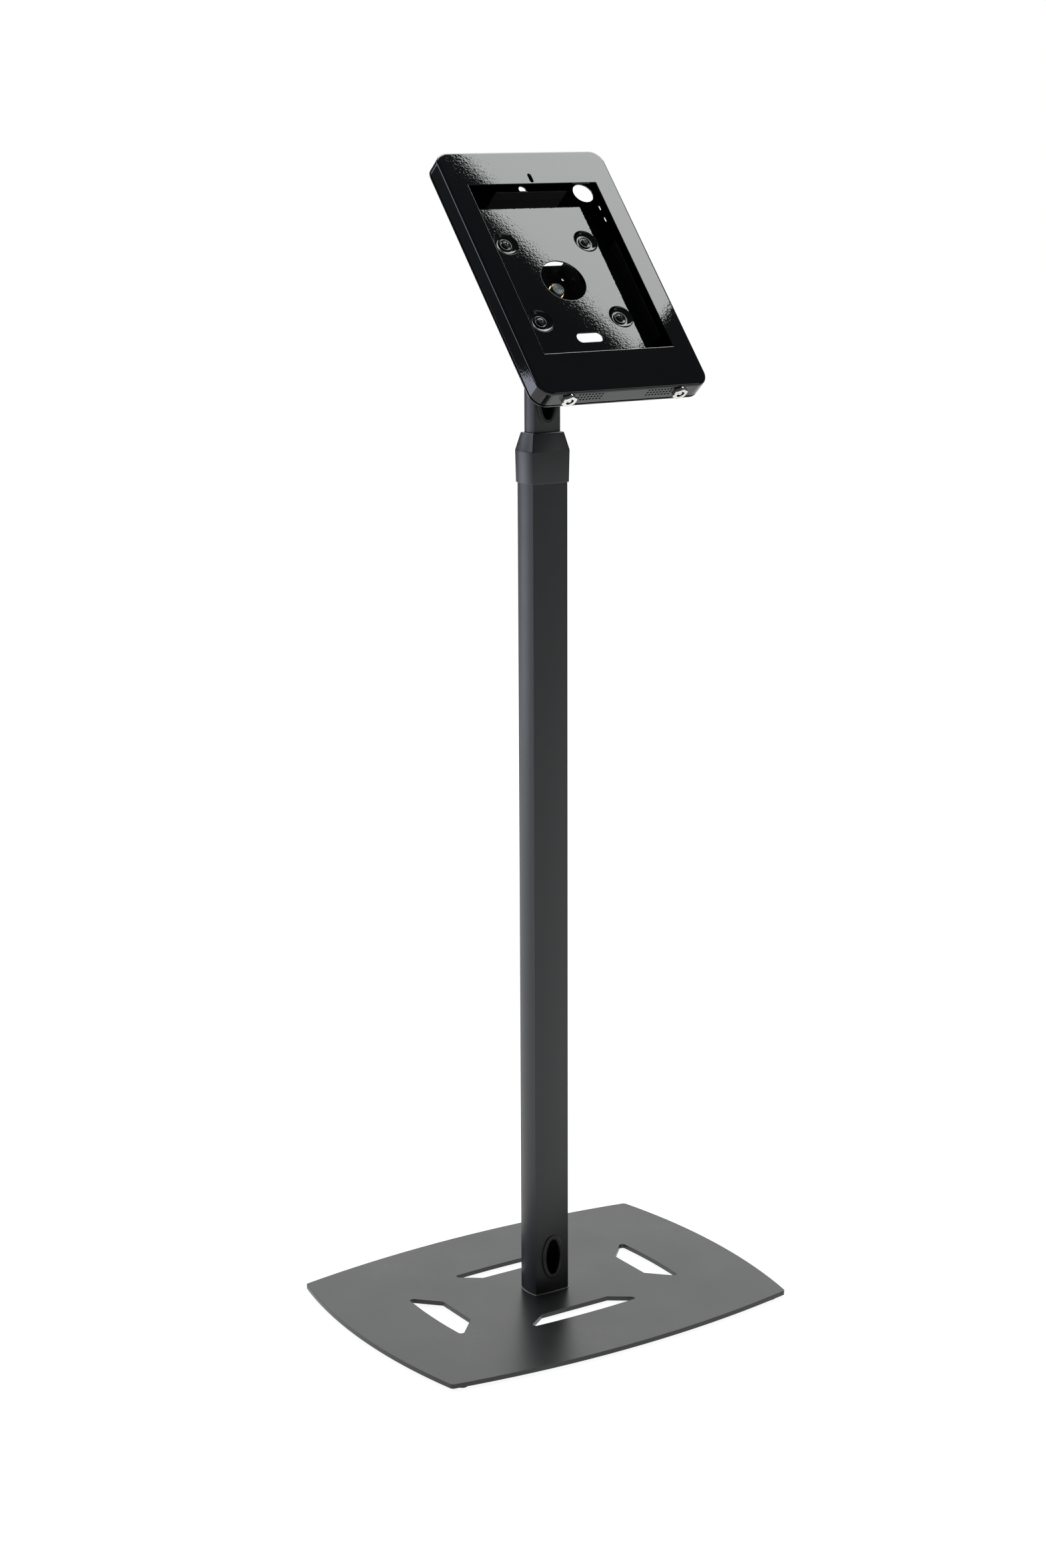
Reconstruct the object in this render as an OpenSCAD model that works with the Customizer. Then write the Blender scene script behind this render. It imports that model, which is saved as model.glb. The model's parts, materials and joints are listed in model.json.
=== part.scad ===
// Free-standing kiosk stand with a lockable tablet enclosure.
// Frame: the floor is Z = 0, the column's axis is the Z axis, and the front faces -Y.
// The enclosure is drawn in its own frame: x across, y up its face, z out of its face,
// with z = 0 on the floor of its back tray and the origin on its turning axis.

/* [Base plate] */
// Corner-to-corner width of the base plate
base_w = 450; // [360:1:560]
// Corner-to-corner depth of the base plate
base_d = 322; // [280:1:420]
// Bow of the front and back edges beyond the corners
base_bow_y = 21; // [12:0.5:30]
// Bow of the left and right edges beyond the corners
base_bow_x = 18; // [10:0.5:28]
// Thickness of the base plate
base_t = 5; // [4:0.5:8]
// Height of the rubber feet below the plate
foot_h = 3; // [2:0.5:8]
// Radius of a rubber foot
foot_r = 6.5; // [5:0.5:12]
// Distance from the plate's corner to a foot, across
foot_in_x = 17; // [14:1:40]
// Distance from the plate's corner to a foot, along the depth
foot_in_y = 7; // [5:1:30]
// Length of the inner edge of the front and back slots
slot_long = 90; // [60:1:100]
// Distance from the centre to the inner edge of the front and back slots
slot_long_in = 62; // [52:0.5:66]
// Distance from the centre to the outer arc of the front and back slots
slot_long_out = 86.6; // [80:0.2:120]
// How far each end of the front and back slots runs past its inner corner
slot_long_nose = 20.3; // [14:0.1:24]
// Length of the inner edge of the side slots
slot_short = 59; // [40:1:66]
// Distance from the centre to the inner edge of the side slots
slot_short_in = 119.5; // [110:0.5:126]
// Distance from the centre to the outer arc of the side slots
slot_short_out = 151.6; // [144:0.2:170]
// How far each end of the side slots runs past its inner corner
slot_short_nose = 22; // [14:0.1:26]
// Radius of a slot's inner corners
slot_corner_r = 2.5; // [1:0.1:5]
// Radius of a slot's rounded tip
slot_tip_r = 3.8; // [2:0.1:5]

/* [Column] */
// Corner-to-corner width of the outer column
col_w = 44; // [40:0.5:58]
// Corner-to-corner depth of the outer column
col_d = 30.6; // [28:0.2:42]
// Bow of the column's side faces
col_bow_x = 2.3; // [1:0.1:3.5]
// Bow of the column's front and back faces
col_bow_y = 1.4; // [0.8:0.1:2.5]
// Wall of the outer column
col_wall = 2; // [1.5:0.1:2.4]
// Length of the outer column
col_len = 954.2; // [700:0.1:1200]
// Thickness of the seal under the column
seal_t = 0.8; // [0.5:0.1:2]
// Height of the block that holds the column to the base
block_h = 14; // [10:1:20]
// Radius of the base screws
base_screw_r = 3; // [2.5:0.1:3.5]

/* [Inner tube] */
// Corner-to-corner width of the inner tube
tube_w = 33.3; // [30:0.1:34]
// Corner-to-corner depth of the inner tube
tube_d = 19.1; // [17.6:0.1:20.4]
// Bow of the inner tube's side faces
tube_bow_x = 1.6; // [0.8:0.1:2]
// Bow of the inner tube's front and back faces
tube_bow_y = 1; // [0.5:0.1:1.4]
// Wall of the inner tube
tube_wall = 1.8; // [1.2:0.1:2.2]
// Length of inner tube that stays below the guide bush when it is fully raised, beyond its glide
tube_spare = 74.9; // [40:0.1:160]
// Length of tube that stands above the collar when it is lowered
tube_show = 102.7; // [90:0.1:150]
// How far the tube can be raised
height_travel = 250; // [150:10:260]
// Length of the guide bush in the column's mouth
bush_len = 60; // [40:1:90]
// Length of the glide at the foot of the inner tube
glide_len = 30; // [20:1:50]

/* [Collar] */
// Height of the collar's skirt, up to its shoulder
skirt_h = 34.5; // [28:0.5:44]
// How far the collar reaches down over the column
collar_over = 24.5; // [20:0.5:26]
// Height of the tapered part above the shoulder
taper_h = 19.4; // [14:0.2:26]
// Thickness of the collar round the column at the shoulder
collar_wall = 2.3; // [2:0.1:4]
// How far the skirt draws in towards its lower edge
skirt_draft = 0.7; // [0.3:0.1:1]
// Thickness of the collar's lip round the inner tube
lip_wall = 2.2; // [1.8:0.1:3]

/* [Cable ports] */
// Outer width of a cable port's ring
port_w = 28.5; // [22:0.5:29]
// Outer height of a cable port's ring
port_h = 52; // [42:0.5:60]
// Width of the ring's face
port_rim = 5; // [3:0.1:6]
// How far the ring stands out of the tube
port_proud = 1.5; // [1:0.1:3]
// Height of the lower port's centre above the base plate
port_low_z = 43.5; // [38:0.5:80]
// Gap between the collar's top and the upper port's ring
port_gap = 8.6; // [5:0.1:20]

/* [Enclosure] */
// Width of the enclosure
enc_w = 210; // [196:1:240]
// Length of the enclosure
enc_h = 311; // [290:1:360]
// Radius of its corners
enc_r = 16; // [12:0.5:18]
// Radius of the cover's front edges
edge_r = 3; // [2:0.1:4]
// Height of the cover's face above the tray floor
face_z = 20.5; // [19:0.5:26]
// Gap between the cover's walls and the tray's rim
rim_gap = 2; // [1.5:0.1:3]
// Sheet thickness
sheet = 1.5; // [1:0.1:2]
// Width of the window
win_w = 161; // [140:1:164]
// Height of the window
win_h = 218; // [180:1:230]
// How far the window's centre lies above the enclosure's
win_up = 3; // [0:0.5:8]
// Lean of the enclosure back from upright
lean = 41.1; // [20:0.1:60]
// Distance from the tilt axis to the tray floor
reach = 55.1; // [52:0.1:70]
// Side of the square of bracket screws
screw_sq = 100; // [75:1:104]
// Outer radius of a dimple
dimple_r = 14; // [12:0.5:15]
// Depth of a dimple
dimple_depth = 3; // [2:0.1:4]
// Radius of the hole over the pivot bolt
hub_hole_r = 26; // [22:0.5:28]
// Radius of the rear camera hole
lens_hole_r = 12.2; // [9:0.1:14]
// Length of the tray's cable slot
cable_slot_len = 32; // [24:0.5:40]
// Width of the tray's cable slot
cable_slot_w = 12; // [8:0.5:16]
// Height of the tray's upstand
upstand_h = 12; // [8:0.5:13]
// Height of the tablet's rest rails above the tray
rail_h = 12.8; // [10:0.1:14]
// Distance between the left and right rest rails
rail_gap = 153.6; // [130:0.2:156]
// Distance from the centre to the top and bottom rest rails
rail_y = 107.5; // [90:0.5:110]
// Length of the top and bottom rest rails
rail_long = 90; // [60:1:120]
// Length of the side rest rails
rail_side = 124; // [80:1:130]

/* [Locks] */
// Distance from the centre line to a lock
lock_x = 69; // [64:0.5:76]
// Radius of a lock's head
lock_head_r = 8.3; // [7.5:0.1:9]
// How far a lock's head stands out
lock_proud = 4.6; // [3:0.1:6]
// Radius of a lock's threaded barrel
lock_barrel_r = 5.8; // [5:0.1:6.2]
// Radius of a lock's turning core
lock_core_r = 4; // [3:0.1:4.4]
// Reach of a lock's cam
cam_reach = 10.4; // [9.6:0.1:10.5]
// Half width of a lock's cam
cam_half = 3.2; // [2.5:0.1:3.5]

/* [Head] */
// Radius of the tilt bolt
tilt_r = 4; // [3:0.1:5]
// Half width of the tilt lug
lug_half = 11; // [9:0.5:12]
// Radius of the tilt lug
lug_r = 12; // [10:0.5:13]
// Height of the tilt axis above the inner tube's top
lug_rise = 22; // [20:0.5:26]
// Depth of the channel bracket behind the tray
channel_depth = 22; // [18:0.5:24]
// Half width of the channel bracket's web, inside
channel_half = 24.6; // [20:0.1:28]
// Radius of the pivot bolt
pivot_r = 4; // [3:0.1:5]
// Radius of the pivot bolt's head
pivot_head_r = 7.5; // [6:0.1:9]

/* [Hidden] */
$fn = 64;

// Clearances
snug = 0.1;         // between pieces fixed to each other
run = 0.3;          // between pieces that slide past each other
bore_run = 0.05;    // between a turning pin and its bore
face_run = 0.2;     // between faces that turn on each other
eps = 0.01;         // lets a cut pass right through a face
blend = 0.03;       // lets two round edges cross where they run into each other

// Heights
plate_top = foot_h + base_t;
col_bottom = plate_top + seal_t;
col_top = col_bottom + col_len;
collar_low = col_top - collar_over;
collar_shoulder = collar_low + skirt_h;
collar_top = collar_shoulder + taper_h;
tube_top = collar_top + tube_show;
tube_len = tube_top - col_top + bush_len + height_travel + glide_len + tube_spare;
tube_bottom = tube_top - tube_len;
tilt_z = tube_top + lug_rise;
port_high_z = collar_top + port_gap + port_h / 2;

// Radius of an arc from its chord and its rise
function arc_r(chord, rise) = (chord * chord / 4 + rise * rise) / (2 * rise);

base_r_y = arc_r(base_w, base_bow_y);
base_r_x = arc_r(base_d, base_bow_x);
corner_cut = 1.5;
foot_x = base_w / 2 - foot_in_x;
foot_y = base_d / 2 - foot_in_y;
foot_pin_r = 2;
foot_pin_h = base_t - 1;
foot_draft = 0.6;
block_screw_x = 12;
block_screw_y = 7;
block_cable_r = 4.5;

// Cable ports and the height lock
ring_sleeve = 1.2;
lock_screw_z = col_top - 14;
lock_screw_r = 3;
lock_screw_head_r = 5.2;
lock_screw_head_h = 3;
lock_screw_taper = 1.2;
lock_screw_key_r = 2.2;

// Cover and tray
upstand_gap = 0.7;
upstand_out = sheet + upstand_gap;
lens_x = 75.5;
lens_y = 114.3;
cable_slot_y = -73.8;
cam_slot_len = 12;
cam_slot_w = 4.5;
cam_slot_y = 119;
dimple_round = 6;      // radius of the dish between its flat and its edge
dimple_under = 4.4;    // how much narrower the cup is underneath than at the tray
head_r = 4.2;
head_h = 2.2;
screw_r = 2;
washer_r = 7.5;
washer_t = 1;
cross_len = 4.4;
cross_w = 0.9;
cross_deep = 1.2;
screw_tail = 1;
nut_h = 3.2;
nut_r = 4;
cup_low = -dimple_depth - sheet;
wing_t = 2;
wing_half = screw_sq / 2 + 11;
web_half_y = 36.5;
vent_x = 43;
vent_pitch = 4;
vent_r = 1.25;
vent_cols = 8;
vent_rows = 3;
vent_z = 12;

// Rolled edge that the cover swings on, and the hooks that hold it
roll_r = sheet / 2 - blend;
roll_half = 46;
hinge_y = enc_h / 2 - sheet / 2;
hinge_z = rim_gap + roll_r;
hook_x = 58;
hook_half = 9;
hook_low = hinge_z + 1.5;
hook_t = 1.2;
hook_out = 0.8;
hook_slot_up = 4;

// Rest rails and the tray's small holes
rail_side_mid = -23;
tie_slot_x = 88.5;
tie_slot_ys = [94, 78.4];
tie_slot_w = 2.5;
tie_slot_len = 6;
cord_hole_x = 0.8;
cord_hole_y = 121;
cord_hole_r = 4.5;

// Locks
lock_y = -enc_h / 2;
lock_z = (face_z + rim_gap) / 2;
lock_nut_t = 2.2;
lock_nut_r = 7.3;
lock_back = lock_y + sheet + lock_nut_t + 1;
cam_t = 1.6;
cam_hole_r = 2.4;
cam_gap = 0.5;
cam_front = lock_back + cam_gap;
notch_half = lock_nut_r + 1.4;
lip_len = 8;
lip_low = lock_z + cam_half + 0.6;
lip_t = 1.2;
lip_in = 6;
keyway_out = 3.1;
keyway_in = 2.2;
keyway_deep = 3;

// Head
web_z = -channel_depth;
disc_t = 1;
pivot_plate_t = 3;
pivot_plate_z = web_z - wing_t - face_run - disc_t;
pivot_plate_half_y = 20;
cheek_t = 3;
cheek_in = lug_half + face_run + 1.5;   // leaves room for a friction disc
cheek_r = 14;
bearing_t = 3.3;
bearing_r = 8.6;
pivot_head_t = 5;
spring_t = 1.2;
pivot_nut_t = 6.5;
pivot_nut_r = 7.5;
plug_len = 40;
cap_t = 3;
pin_z = -25;
pin_r = 2;
pin_len = 8;
lug_slim = 6;         // how much slimmer the lug's neck is than its round end
plug_slot = 12;       // width of the cable's way through the plug
bolt_head_r = 7;
bolt_head_h = 4;
bolt_key_r = 2.9;
bolt_key_deep = 2.6;
tilt_nut_r = 7.4;
tilt_nut_h = 6.5;
bolt_tail = 1;
tilt_disc_t = 1.5;
head_round = 0.8;     // bevel round the pivot bolt's face
disc_r = 13;
spring_low_r = 8;
spring_high_r = 9;
pivot_tail = 1.5;
stop_hole_r = 1.8;
stop_holes = [[2, 15], [18, 18]];

// The axes of the enclosure's frame at rest
module on_enclosure() {
    translate([0, 0, tilt_z]) rotate([90 - lean, 0, 0]) translate([0, 0, reach]) children();
}

// A cylinder along the enclosure's own y, from a lock's outside inwards
module along_y(x, y, z, r, len, sides = 64) {
    translate([x, y, z]) rotate([-90, 0, 0]) cylinder(r = r, h = len, $fn = sides);
}

// The plan of a tube with four bowed faces, grown by c all round
module bow_tube_plan(w, d, bow_x, bow_y, c = 0) {
    rx = arc_r(d, bow_x);
    ry = arc_r(w, bow_y);
    intersection() {
        translate([w / 2 + bow_x - rx, 0]) circle(r = rx + c, $fn = 200);
        translate([rx - w / 2 - bow_x, 0]) circle(r = rx + c, $fn = 200);
        translate([0, d / 2 + bow_y - ry]) circle(r = ry + c, $fn = 200);
        translate([0, ry - d / 2 - bow_y]) circle(r = ry + c, $fn = 200);
    }
}

module col_plan(c = 0) {
    bow_tube_plan(col_w, col_d, col_bow_x, col_bow_y, c);
}

module tube_plan(c = 0) {
    bow_tube_plan(tube_w, tube_d, tube_bow_x, tube_bow_y, c);
}

// A bowed block whose faces draw in evenly from c0 at its foot to c1 at its top
module bow_taper(w, d, bow_x, bow_y, c0, c1, h) {
    rx = arc_r(d, bow_x);
    ry = arc_r(w, bow_y);
    intersection() {
        translate([w / 2 + bow_x - rx, 0, 0]) cylinder(r1 = rx + c0, r2 = rx + c1, h = h, $fn = 200);
        translate([rx - w / 2 - bow_x, 0, 0]) cylinder(r1 = rx + c0, r2 = rx + c1, h = h, $fn = 200);
        translate([0, d / 2 + bow_y - ry, 0]) cylinder(r1 = ry + c0, r2 = ry + c1, h = h, $fn = 200);
        translate([0, ry - d / 2 - bow_y, 0]) cylinder(r1 = ry + c0, r2 = ry + c1, h = h, $fn = 200);
    }
}

// A rectangle with round corners
module round_rect(w, h, r) {
    square([w - 2 * r, h], center = true);
    square([w, h - 2 * r], center = true);
    for (x = [-1, 1], y = [-1, 1]) translate([x * (w / 2 - r), y * (h / 2 - r)]) circle(r = r);
}

// A slot with round ends, along x
module obround(len, w) {
    square([len - w, w], center = true);
    for (s = [-1, 1]) translate([s * (len - w) / 2, 0]) circle(d = w);
}

// An upright oval of four tangent arcs
module oval(w, h) {
    end_r = w * 0.36;
    side_r = (pow(h / 2 - end_r, 2) + w * w / 4 - end_r * end_r) / (w - 2 * end_r);
    meet = (h / 2 - end_r) * side_r / (side_r - end_r);
    intersection() {
        translate([w / 2 - side_r, 0]) circle(r = side_r, $fn = 200);
        translate([side_r - w / 2, 0]) circle(r = side_r, $fn = 200);
        square([w, 2 * meet], center = true);
    }
    for (s = [-1, 1]) translate([0, s * (h / 2 - end_r)]) circle(r = end_r + blend);
}

// ---------------------------------------------------------------- base

function unit(v) = v / norm(v);

// The way out of two circles that share a tangent line on their left-hand side
function tangent_out(a, ra, b, rb) =
    let (d = unit(b - a), k = (ra - rb) / norm(b - a))
    k * d + sqrt(1 - k * k) * [-d[1], d[0]];

// One base slot, centred on -y: outer arc parallel to the plate's edge, straight inner
// edge of the given length, and two noses that run out to rounded tips
module edge_slot(edge_r, crown, near, far, inner_len, nose) {
    arc_y = edge_r - crown;
    out_r = arc_y + far;
    tip_x = inner_len / 2 + nose;
    tip = [tip_x, arc_y - sqrt(pow(out_r - slot_tip_r + blend, 2) - tip_x * tip_x)];
    corner = [inner_len / 2 - slot_corner_r / 3, -near - slot_corner_r + blend];
    way = tangent_out(corner, slot_corner_r, tip, slot_tip_r);
    start = corner + (slot_corner_r - blend) * way;
    end = tip + (slot_tip_r - blend) * way;
    out = tip + 2 * slot_tip_r * unit(tip - [0, arc_y]);
    intersection() {
        translate([0, arc_y]) circle(r = out_r, $fn = 200);
        polygon([
            [-corner[0], -near], [corner[0], -near], start, end, tip, out,
            [-out[0], out[1]], [-tip[0], tip[1]], [-end[0], end[1]], [-start[0], start[1]]
        ]);
    }
    for (s = [-1, 1]) {
        translate([s * tip[0], tip[1]]) circle(r = slot_tip_r);
        translate([s * corner[0], corner[1]]) circle(r = slot_corner_r);
    }
}

module base_plan() {
    intersection() {
        translate([0, base_d / 2 + base_bow_y - base_r_y]) circle(r = base_r_y, $fn = 200);
        translate([0, base_r_y - base_d / 2 - base_bow_y]) circle(r = base_r_y, $fn = 200);
        translate([base_w / 2 + base_bow_x - base_r_x, 0]) circle(r = base_r_x, $fn = 200);
        translate([base_r_x - base_w / 2 - base_bow_x, 0]) circle(r = base_r_x, $fn = 200);
        rotate(45) square((base_w + base_d - 2 * corner_cut) / sqrt(2), center = true);
    }
}

module base_plate() {
    color([0.25, 0.25, 0.25])
    difference() {
        translate([0, 0, foot_h]) linear_extrude(base_t) difference() {
            base_plan();
            for (a = [0, 180]) rotate(a) {
                edge_slot(base_r_y, base_d / 2 + base_bow_y, slot_long_in, slot_long_out, slot_long,
                    slot_long_nose);
            }
            for (a = [90, 270]) rotate(a) {
                edge_slot(base_r_x, base_w / 2 + base_bow_x, slot_short_in, slot_short_out, slot_short,
                    slot_short_nose);
            }
        }
        for (x = [-1, 1], y = [-1, 1]) translate([x * foot_x, y * foot_y, foot_h - eps]) {
            cylinder(r = foot_pin_r + bore_run, h = foot_pin_h + eps);
        }
        for (x = [-1, 1], y = [-1, 1]) translate([x * block_screw_x, y * block_screw_y, foot_h - eps]) {
            cylinder(r = base_screw_r + snug, h = base_t + 2 * eps);
            cylinder(r1 = 2 * base_screw_r + snug, r2 = base_screw_r + snug, h = base_screw_r);
        }
    }
}

module rubber_feet() {
    color([0.08, 0.08, 0.08])
    for (x = [-1, 1], y = [-1, 1]) translate([x * foot_x, y * foot_y, 0]) {
        cylinder(r1 = foot_r - foot_draft, r2 = foot_r, h = foot_h);
        cylinder(r = foot_pin_r, h = foot_h + foot_pin_h - snug);
    }
}

module base_screws() {
    color([0.6, 0.6, 0.62])
    for (x = [-1, 1], y = [-1, 1]) translate([x * block_screw_x, y * block_screw_y, foot_h]) difference() {
        union() {
            cylinder(r1 = 2 * base_screw_r, r2 = base_screw_r, h = base_screw_r);
            cylinder(r = base_screw_r, h = base_t + seal_t + block_h - 3);
        }
        translate([0, 0, -eps]) cylinder(r = base_screw_r * 0.6, h = base_screw_r * 0.6, $fn = 6);
    }
}

module column_block() {
    color([0.6, 0.6, 0.6])
    translate([0, 0, col_bottom]) difference() {
        linear_extrude(block_h) col_plan(-col_wall - snug);
        for (x = [-1, 1], y = [-1, 1]) translate([x * block_screw_x, y * block_screw_y, -eps]) {
            cylinder(r = base_screw_r + snug / 2, h = block_h - 2);
        }
        translate([0, 0, -eps]) cylinder(r = block_cable_r, h = block_h + 2 * eps);
    }
}

module column_seal() {
    color([0.45, 0.43, 0.38])
    translate([0, 0, plate_top]) linear_extrude(seal_t) difference() {
        col_plan(0.5);
        col_plan(-col_wall);
    }
}

// ---------------------------------------------------------------- column

// Cuts an oval through a tube's front wall
module port_cut(half_d, z, grow) {
    translate([0, 0, z]) rotate([90, 0, 0]) linear_extrude(half_d + 2 * port_proud + 10) {
        oval(port_w - 2 * port_rim + grow, port_h - 2 * port_rim + grow);
    }
}

module outer_column() {
    color([0.2, 0.21, 0.22])
    difference() {
        translate([0, 0, col_bottom]) linear_extrude(col_len) difference() {
            col_plan();
            col_plan(-col_wall);
        }
        port_cut(col_d / 2, plate_top + port_low_z, 2 * ring_sleeve);
        translate([0, 0, lock_screw_z]) rotate([-90, 0, 0]) cylinder(r = lock_screw_r + snug, h = col_d);
    }
}

// The ring of a cable port: a face that stands out of the tube's front, and a sleeve
// through its wall
module port_ring(half_d, bow, wall, z) {
    w_in = port_w - 2 * port_rim;
    h_in = port_h - 2 * port_rim;
    translate([0, -half_d - bow, z]) rotate([90, 0, 0]) difference() {
        union() {
            linear_extrude(port_proud) oval(port_w, port_h);
            translate([0, 0, -wall - 1.2]) linear_extrude(wall + 1.2 + eps) {
                oval(w_in + 2 * ring_sleeve - 2 * snug, h_in + 2 * ring_sleeve - 2 * snug);
            }
        }
        translate([0, 0, -wall - 2]) linear_extrude(wall + 2 + port_proud + 1) oval(w_in, h_in);
    }
}

module lower_port_ring() {
    color([0.13, 0.13, 0.13])
    port_ring(col_d / 2, col_bow_y, col_wall, plate_top + port_low_z);
}

module guide_bush() {
    color([0.1, 0.1, 0.1])
    difference() {
        translate([0, 0, col_top - bush_len]) linear_extrude(bush_len) difference() {
            col_plan(-col_wall - snug);
            tube_plan(run);
        }
        translate([0, 0, lock_screw_z]) rotate([-90, 0, 0]) cylinder(r = lock_screw_r + bore_run, h = col_d);
    }
}

module collar() {
    grow = collar_wall;
    lip_w = tube_w + 2 * lip_wall;
    color([0.17, 0.18, 0.19])
    difference() {
        union() {
            translate([0, 0, collar_low]) bow_taper(col_w, col_d, col_bow_x, col_bow_y,
                grow - skirt_draft, grow, skirt_h);
            translate([0, 0, collar_shoulder]) bow_taper(col_w, col_d, col_bow_x, col_bow_y,
                grow, (lip_w - col_w) / 2, taper_h);
        }
        translate([0, 0, collar_low - eps]) linear_extrude(col_top - collar_low + eps) col_plan(snug);
        translate([0, 0, collar_low]) linear_extrude(skirt_h + taper_h + eps) tube_plan(run);
        translate([0, 0, lock_screw_z]) rotate([-90, 0, 0]) cylinder(r = lock_screw_r + snug, h = col_d);
    }
}

module height_lock_screw() {
    back = col_d / 2 + col_bow_y + collar_wall;
    tip = tube_d / 2 + tube_bow_y + run;
    color([0.55, 0.55, 0.56])
    translate([0, 0, lock_screw_z]) rotate([-90, 0, 0]) difference() {
        union() {
            translate([0, 0, tip]) cylinder(r = lock_screw_r, h = back - tip + eps);
            translate([0, 0, back]) {
                cylinder(r1 = lock_screw_head_r, r2 = lock_screw_head_r - lock_screw_taper, h = lock_screw_head_h);
            }
        }
        translate([0, 0, back + 1]) cylinder(r = lock_screw_key_r, h = lock_screw_head_h, $fn = 6);
    }
}

// ---------------------------------------------------------------- inner tube

module inner_tube() {
    color([0.24, 0.25, 0.27])
    difference() {
        translate([0, 0, tube_bottom]) linear_extrude(tube_len) difference() {
            tube_plan();
            tube_plan(-tube_wall);
        }
        port_cut(tube_d / 2, port_high_z, 2 * ring_sleeve);
        translate([-tube_w, 0, tube_top + pin_z]) rotate([0, 90, 0]) cylinder(r = pin_r + bore_run, h = 2 * tube_w);
    }
}

module tube_glide() {
    color([0.1, 0.1, 0.1])
    translate([0, 0, tube_bottom]) linear_extrude(glide_len) difference() {
        col_plan(-col_wall - run);
        tube_plan(snug / 2);
    }
}

module upper_port_ring() {
    color([0.13, 0.13, 0.13])
    port_ring(tube_d / 2, tube_bow_y, tube_wall, port_high_z);
}

// The head is a plug in the tube's mouth, a cap over its end, and a lug for the tilt bolt
module tilt_head() {
    lug_d = 2 * lug_r - lug_slim;
    color([0.3, 0.3, 0.31])
    difference() {
        union() {
            translate([0, 0, tube_top - plug_len]) linear_extrude(plug_len) difference() {
                tube_plan(-tube_wall - snug);
                square([plug_slot, tube_d], center = true);
            }
            translate([0, 0, tube_top]) linear_extrude(cap_t) tube_plan();
            translate([-lug_half, -lug_d / 2, tube_top + cap_t - eps]) {
                cube([2 * lug_half, lug_d, lug_rise - cap_t + eps]);
            }
            translate([-lug_half, 0, tilt_z]) rotate([0, 90, 0]) cylinder(r = lug_r, h = 2 * lug_half);
        }
        translate([-lug_half - 1, 0, tilt_z]) rotate([0, 90, 0]) {
            cylinder(r = tilt_r + bore_run, h = 2 * lug_half + 2);
        }
        translate([-tube_w, 0, tube_top + pin_z]) rotate([0, 90, 0]) cylinder(r = pin_r + bore_run, h = 2 * tube_w);
    }
}

module tilt_head_pins() {
    color([0.6, 0.6, 0.6])
    for (s = [-1, 1]) translate([s * (tube_w / 2 + tube_bow_x - pin_len / 2), 0, tube_top + pin_z]) {
        rotate([0, 90, 0]) cylinder(r = pin_r, h = pin_len, center = true);
    }
}

// ---------------------------------------------------------------- tilt bracket and pivot

// Side view of a cheek: a disc round the tilt axis that runs out to the pivot plate
module cheek_plan() {
    far = reach + pivot_plate_z;
    circle(r = cheek_r);
    polygon([
        [-cheek_r, 0], [cheek_r, 0], [pivot_plate_half_y, far - pivot_plate_t],
        [pivot_plate_half_y, far], [-pivot_plate_half_y, far], [-pivot_plate_half_y, far - pivot_plate_t]
    ]);
}

module tilt_bracket() {
    color([0.16, 0.16, 0.17])
    on_enclosure() difference() {
        union() {
            for (s = [-1, 1]) translate([s * (cheek_in + cheek_t / 2), 0, -reach]) {
                rotate([90, 0, 90]) linear_extrude(cheek_t, center = true) cheek_plan();
            }
            translate([0, 0, pivot_plate_z - pivot_plate_t / 2]) {
                cube([2 * (cheek_in + cheek_t), 2 * pivot_plate_half_y, pivot_plate_t], center = true);
            }
        }
        translate([0, 0, pivot_plate_z - pivot_plate_t - 1]) {
            cylinder(r = pivot_r + snug / 2, h = pivot_plate_t + 2);
        }
        translate([-cheek_in - cheek_t - 1, 0, -reach]) rotate([0, 90, 0]) {
            cylinder(r = tilt_r + snug / 2, h = 2 * (cheek_in + cheek_t + 1));
        }
    }
}

module tilt_bolt() {
    out = cheek_in + cheek_t;
    color([0.5, 0.5, 0.52])
    translate([0, 0, tilt_z]) rotate([0, 90, 0]) difference() {
        union() {
            translate([0, 0, -out - bolt_head_h]) {
                cylinder(r1 = bolt_head_r - 0.6, r2 = bolt_head_r, h = bolt_head_h);
            }
            translate([0, 0, -out]) cylinder(r = tilt_r, h = 2 * out + tilt_nut_h + bolt_tail);
        }
        translate([0, 0, -out - bolt_head_h - eps]) cylinder(r = bolt_key_r, h = bolt_key_deep, $fn = 6);
    }
}

module tilt_nut() {
    out = cheek_in + cheek_t;
    color([0.5, 0.5, 0.52])
    translate([out, 0, tilt_z]) rotate([0, 90, 0]) difference() {
        cylinder(r = tilt_nut_r, h = tilt_nut_h, $fn = 6);
        translate([0, 0, -eps]) cylinder(r = tilt_r + snug / 2, h = tilt_nut_h + 2 * eps);
    }
}

module tilt_friction_discs() {
    color([0.85, 0.84, 0.78])
    for (s = [-1, 1]) translate([s * (cheek_in - tilt_disc_t / 2), 0, tilt_z]) rotate([0, 90, 0]) difference() {
        cylinder(r = lug_r - 1, h = tilt_disc_t, center = true);
        cylinder(r = tilt_r + snug, h = 2 * tilt_disc_t, center = true);
    }
}

module pivot_bolt() {
    head_low = web_z + face_run + bearing_t;
    tail = pivot_plate_z - pivot_plate_t - spring_t - pivot_nut_t - pivot_tail;
    color([0.33, 0.35, 0.36])
    on_enclosure() {
        translate([0, 0, head_low]) cylinder(r = pivot_head_r, h = pivot_head_t - head_round);
        translate([0, 0, head_low + pivot_head_t - head_round]) {
            cylinder(r1 = pivot_head_r, r2 = pivot_head_r - head_round, h = head_round);
        }
        translate([0, 0, tail]) cylinder(r = pivot_r, h = head_low - tail);
    }
}

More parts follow.
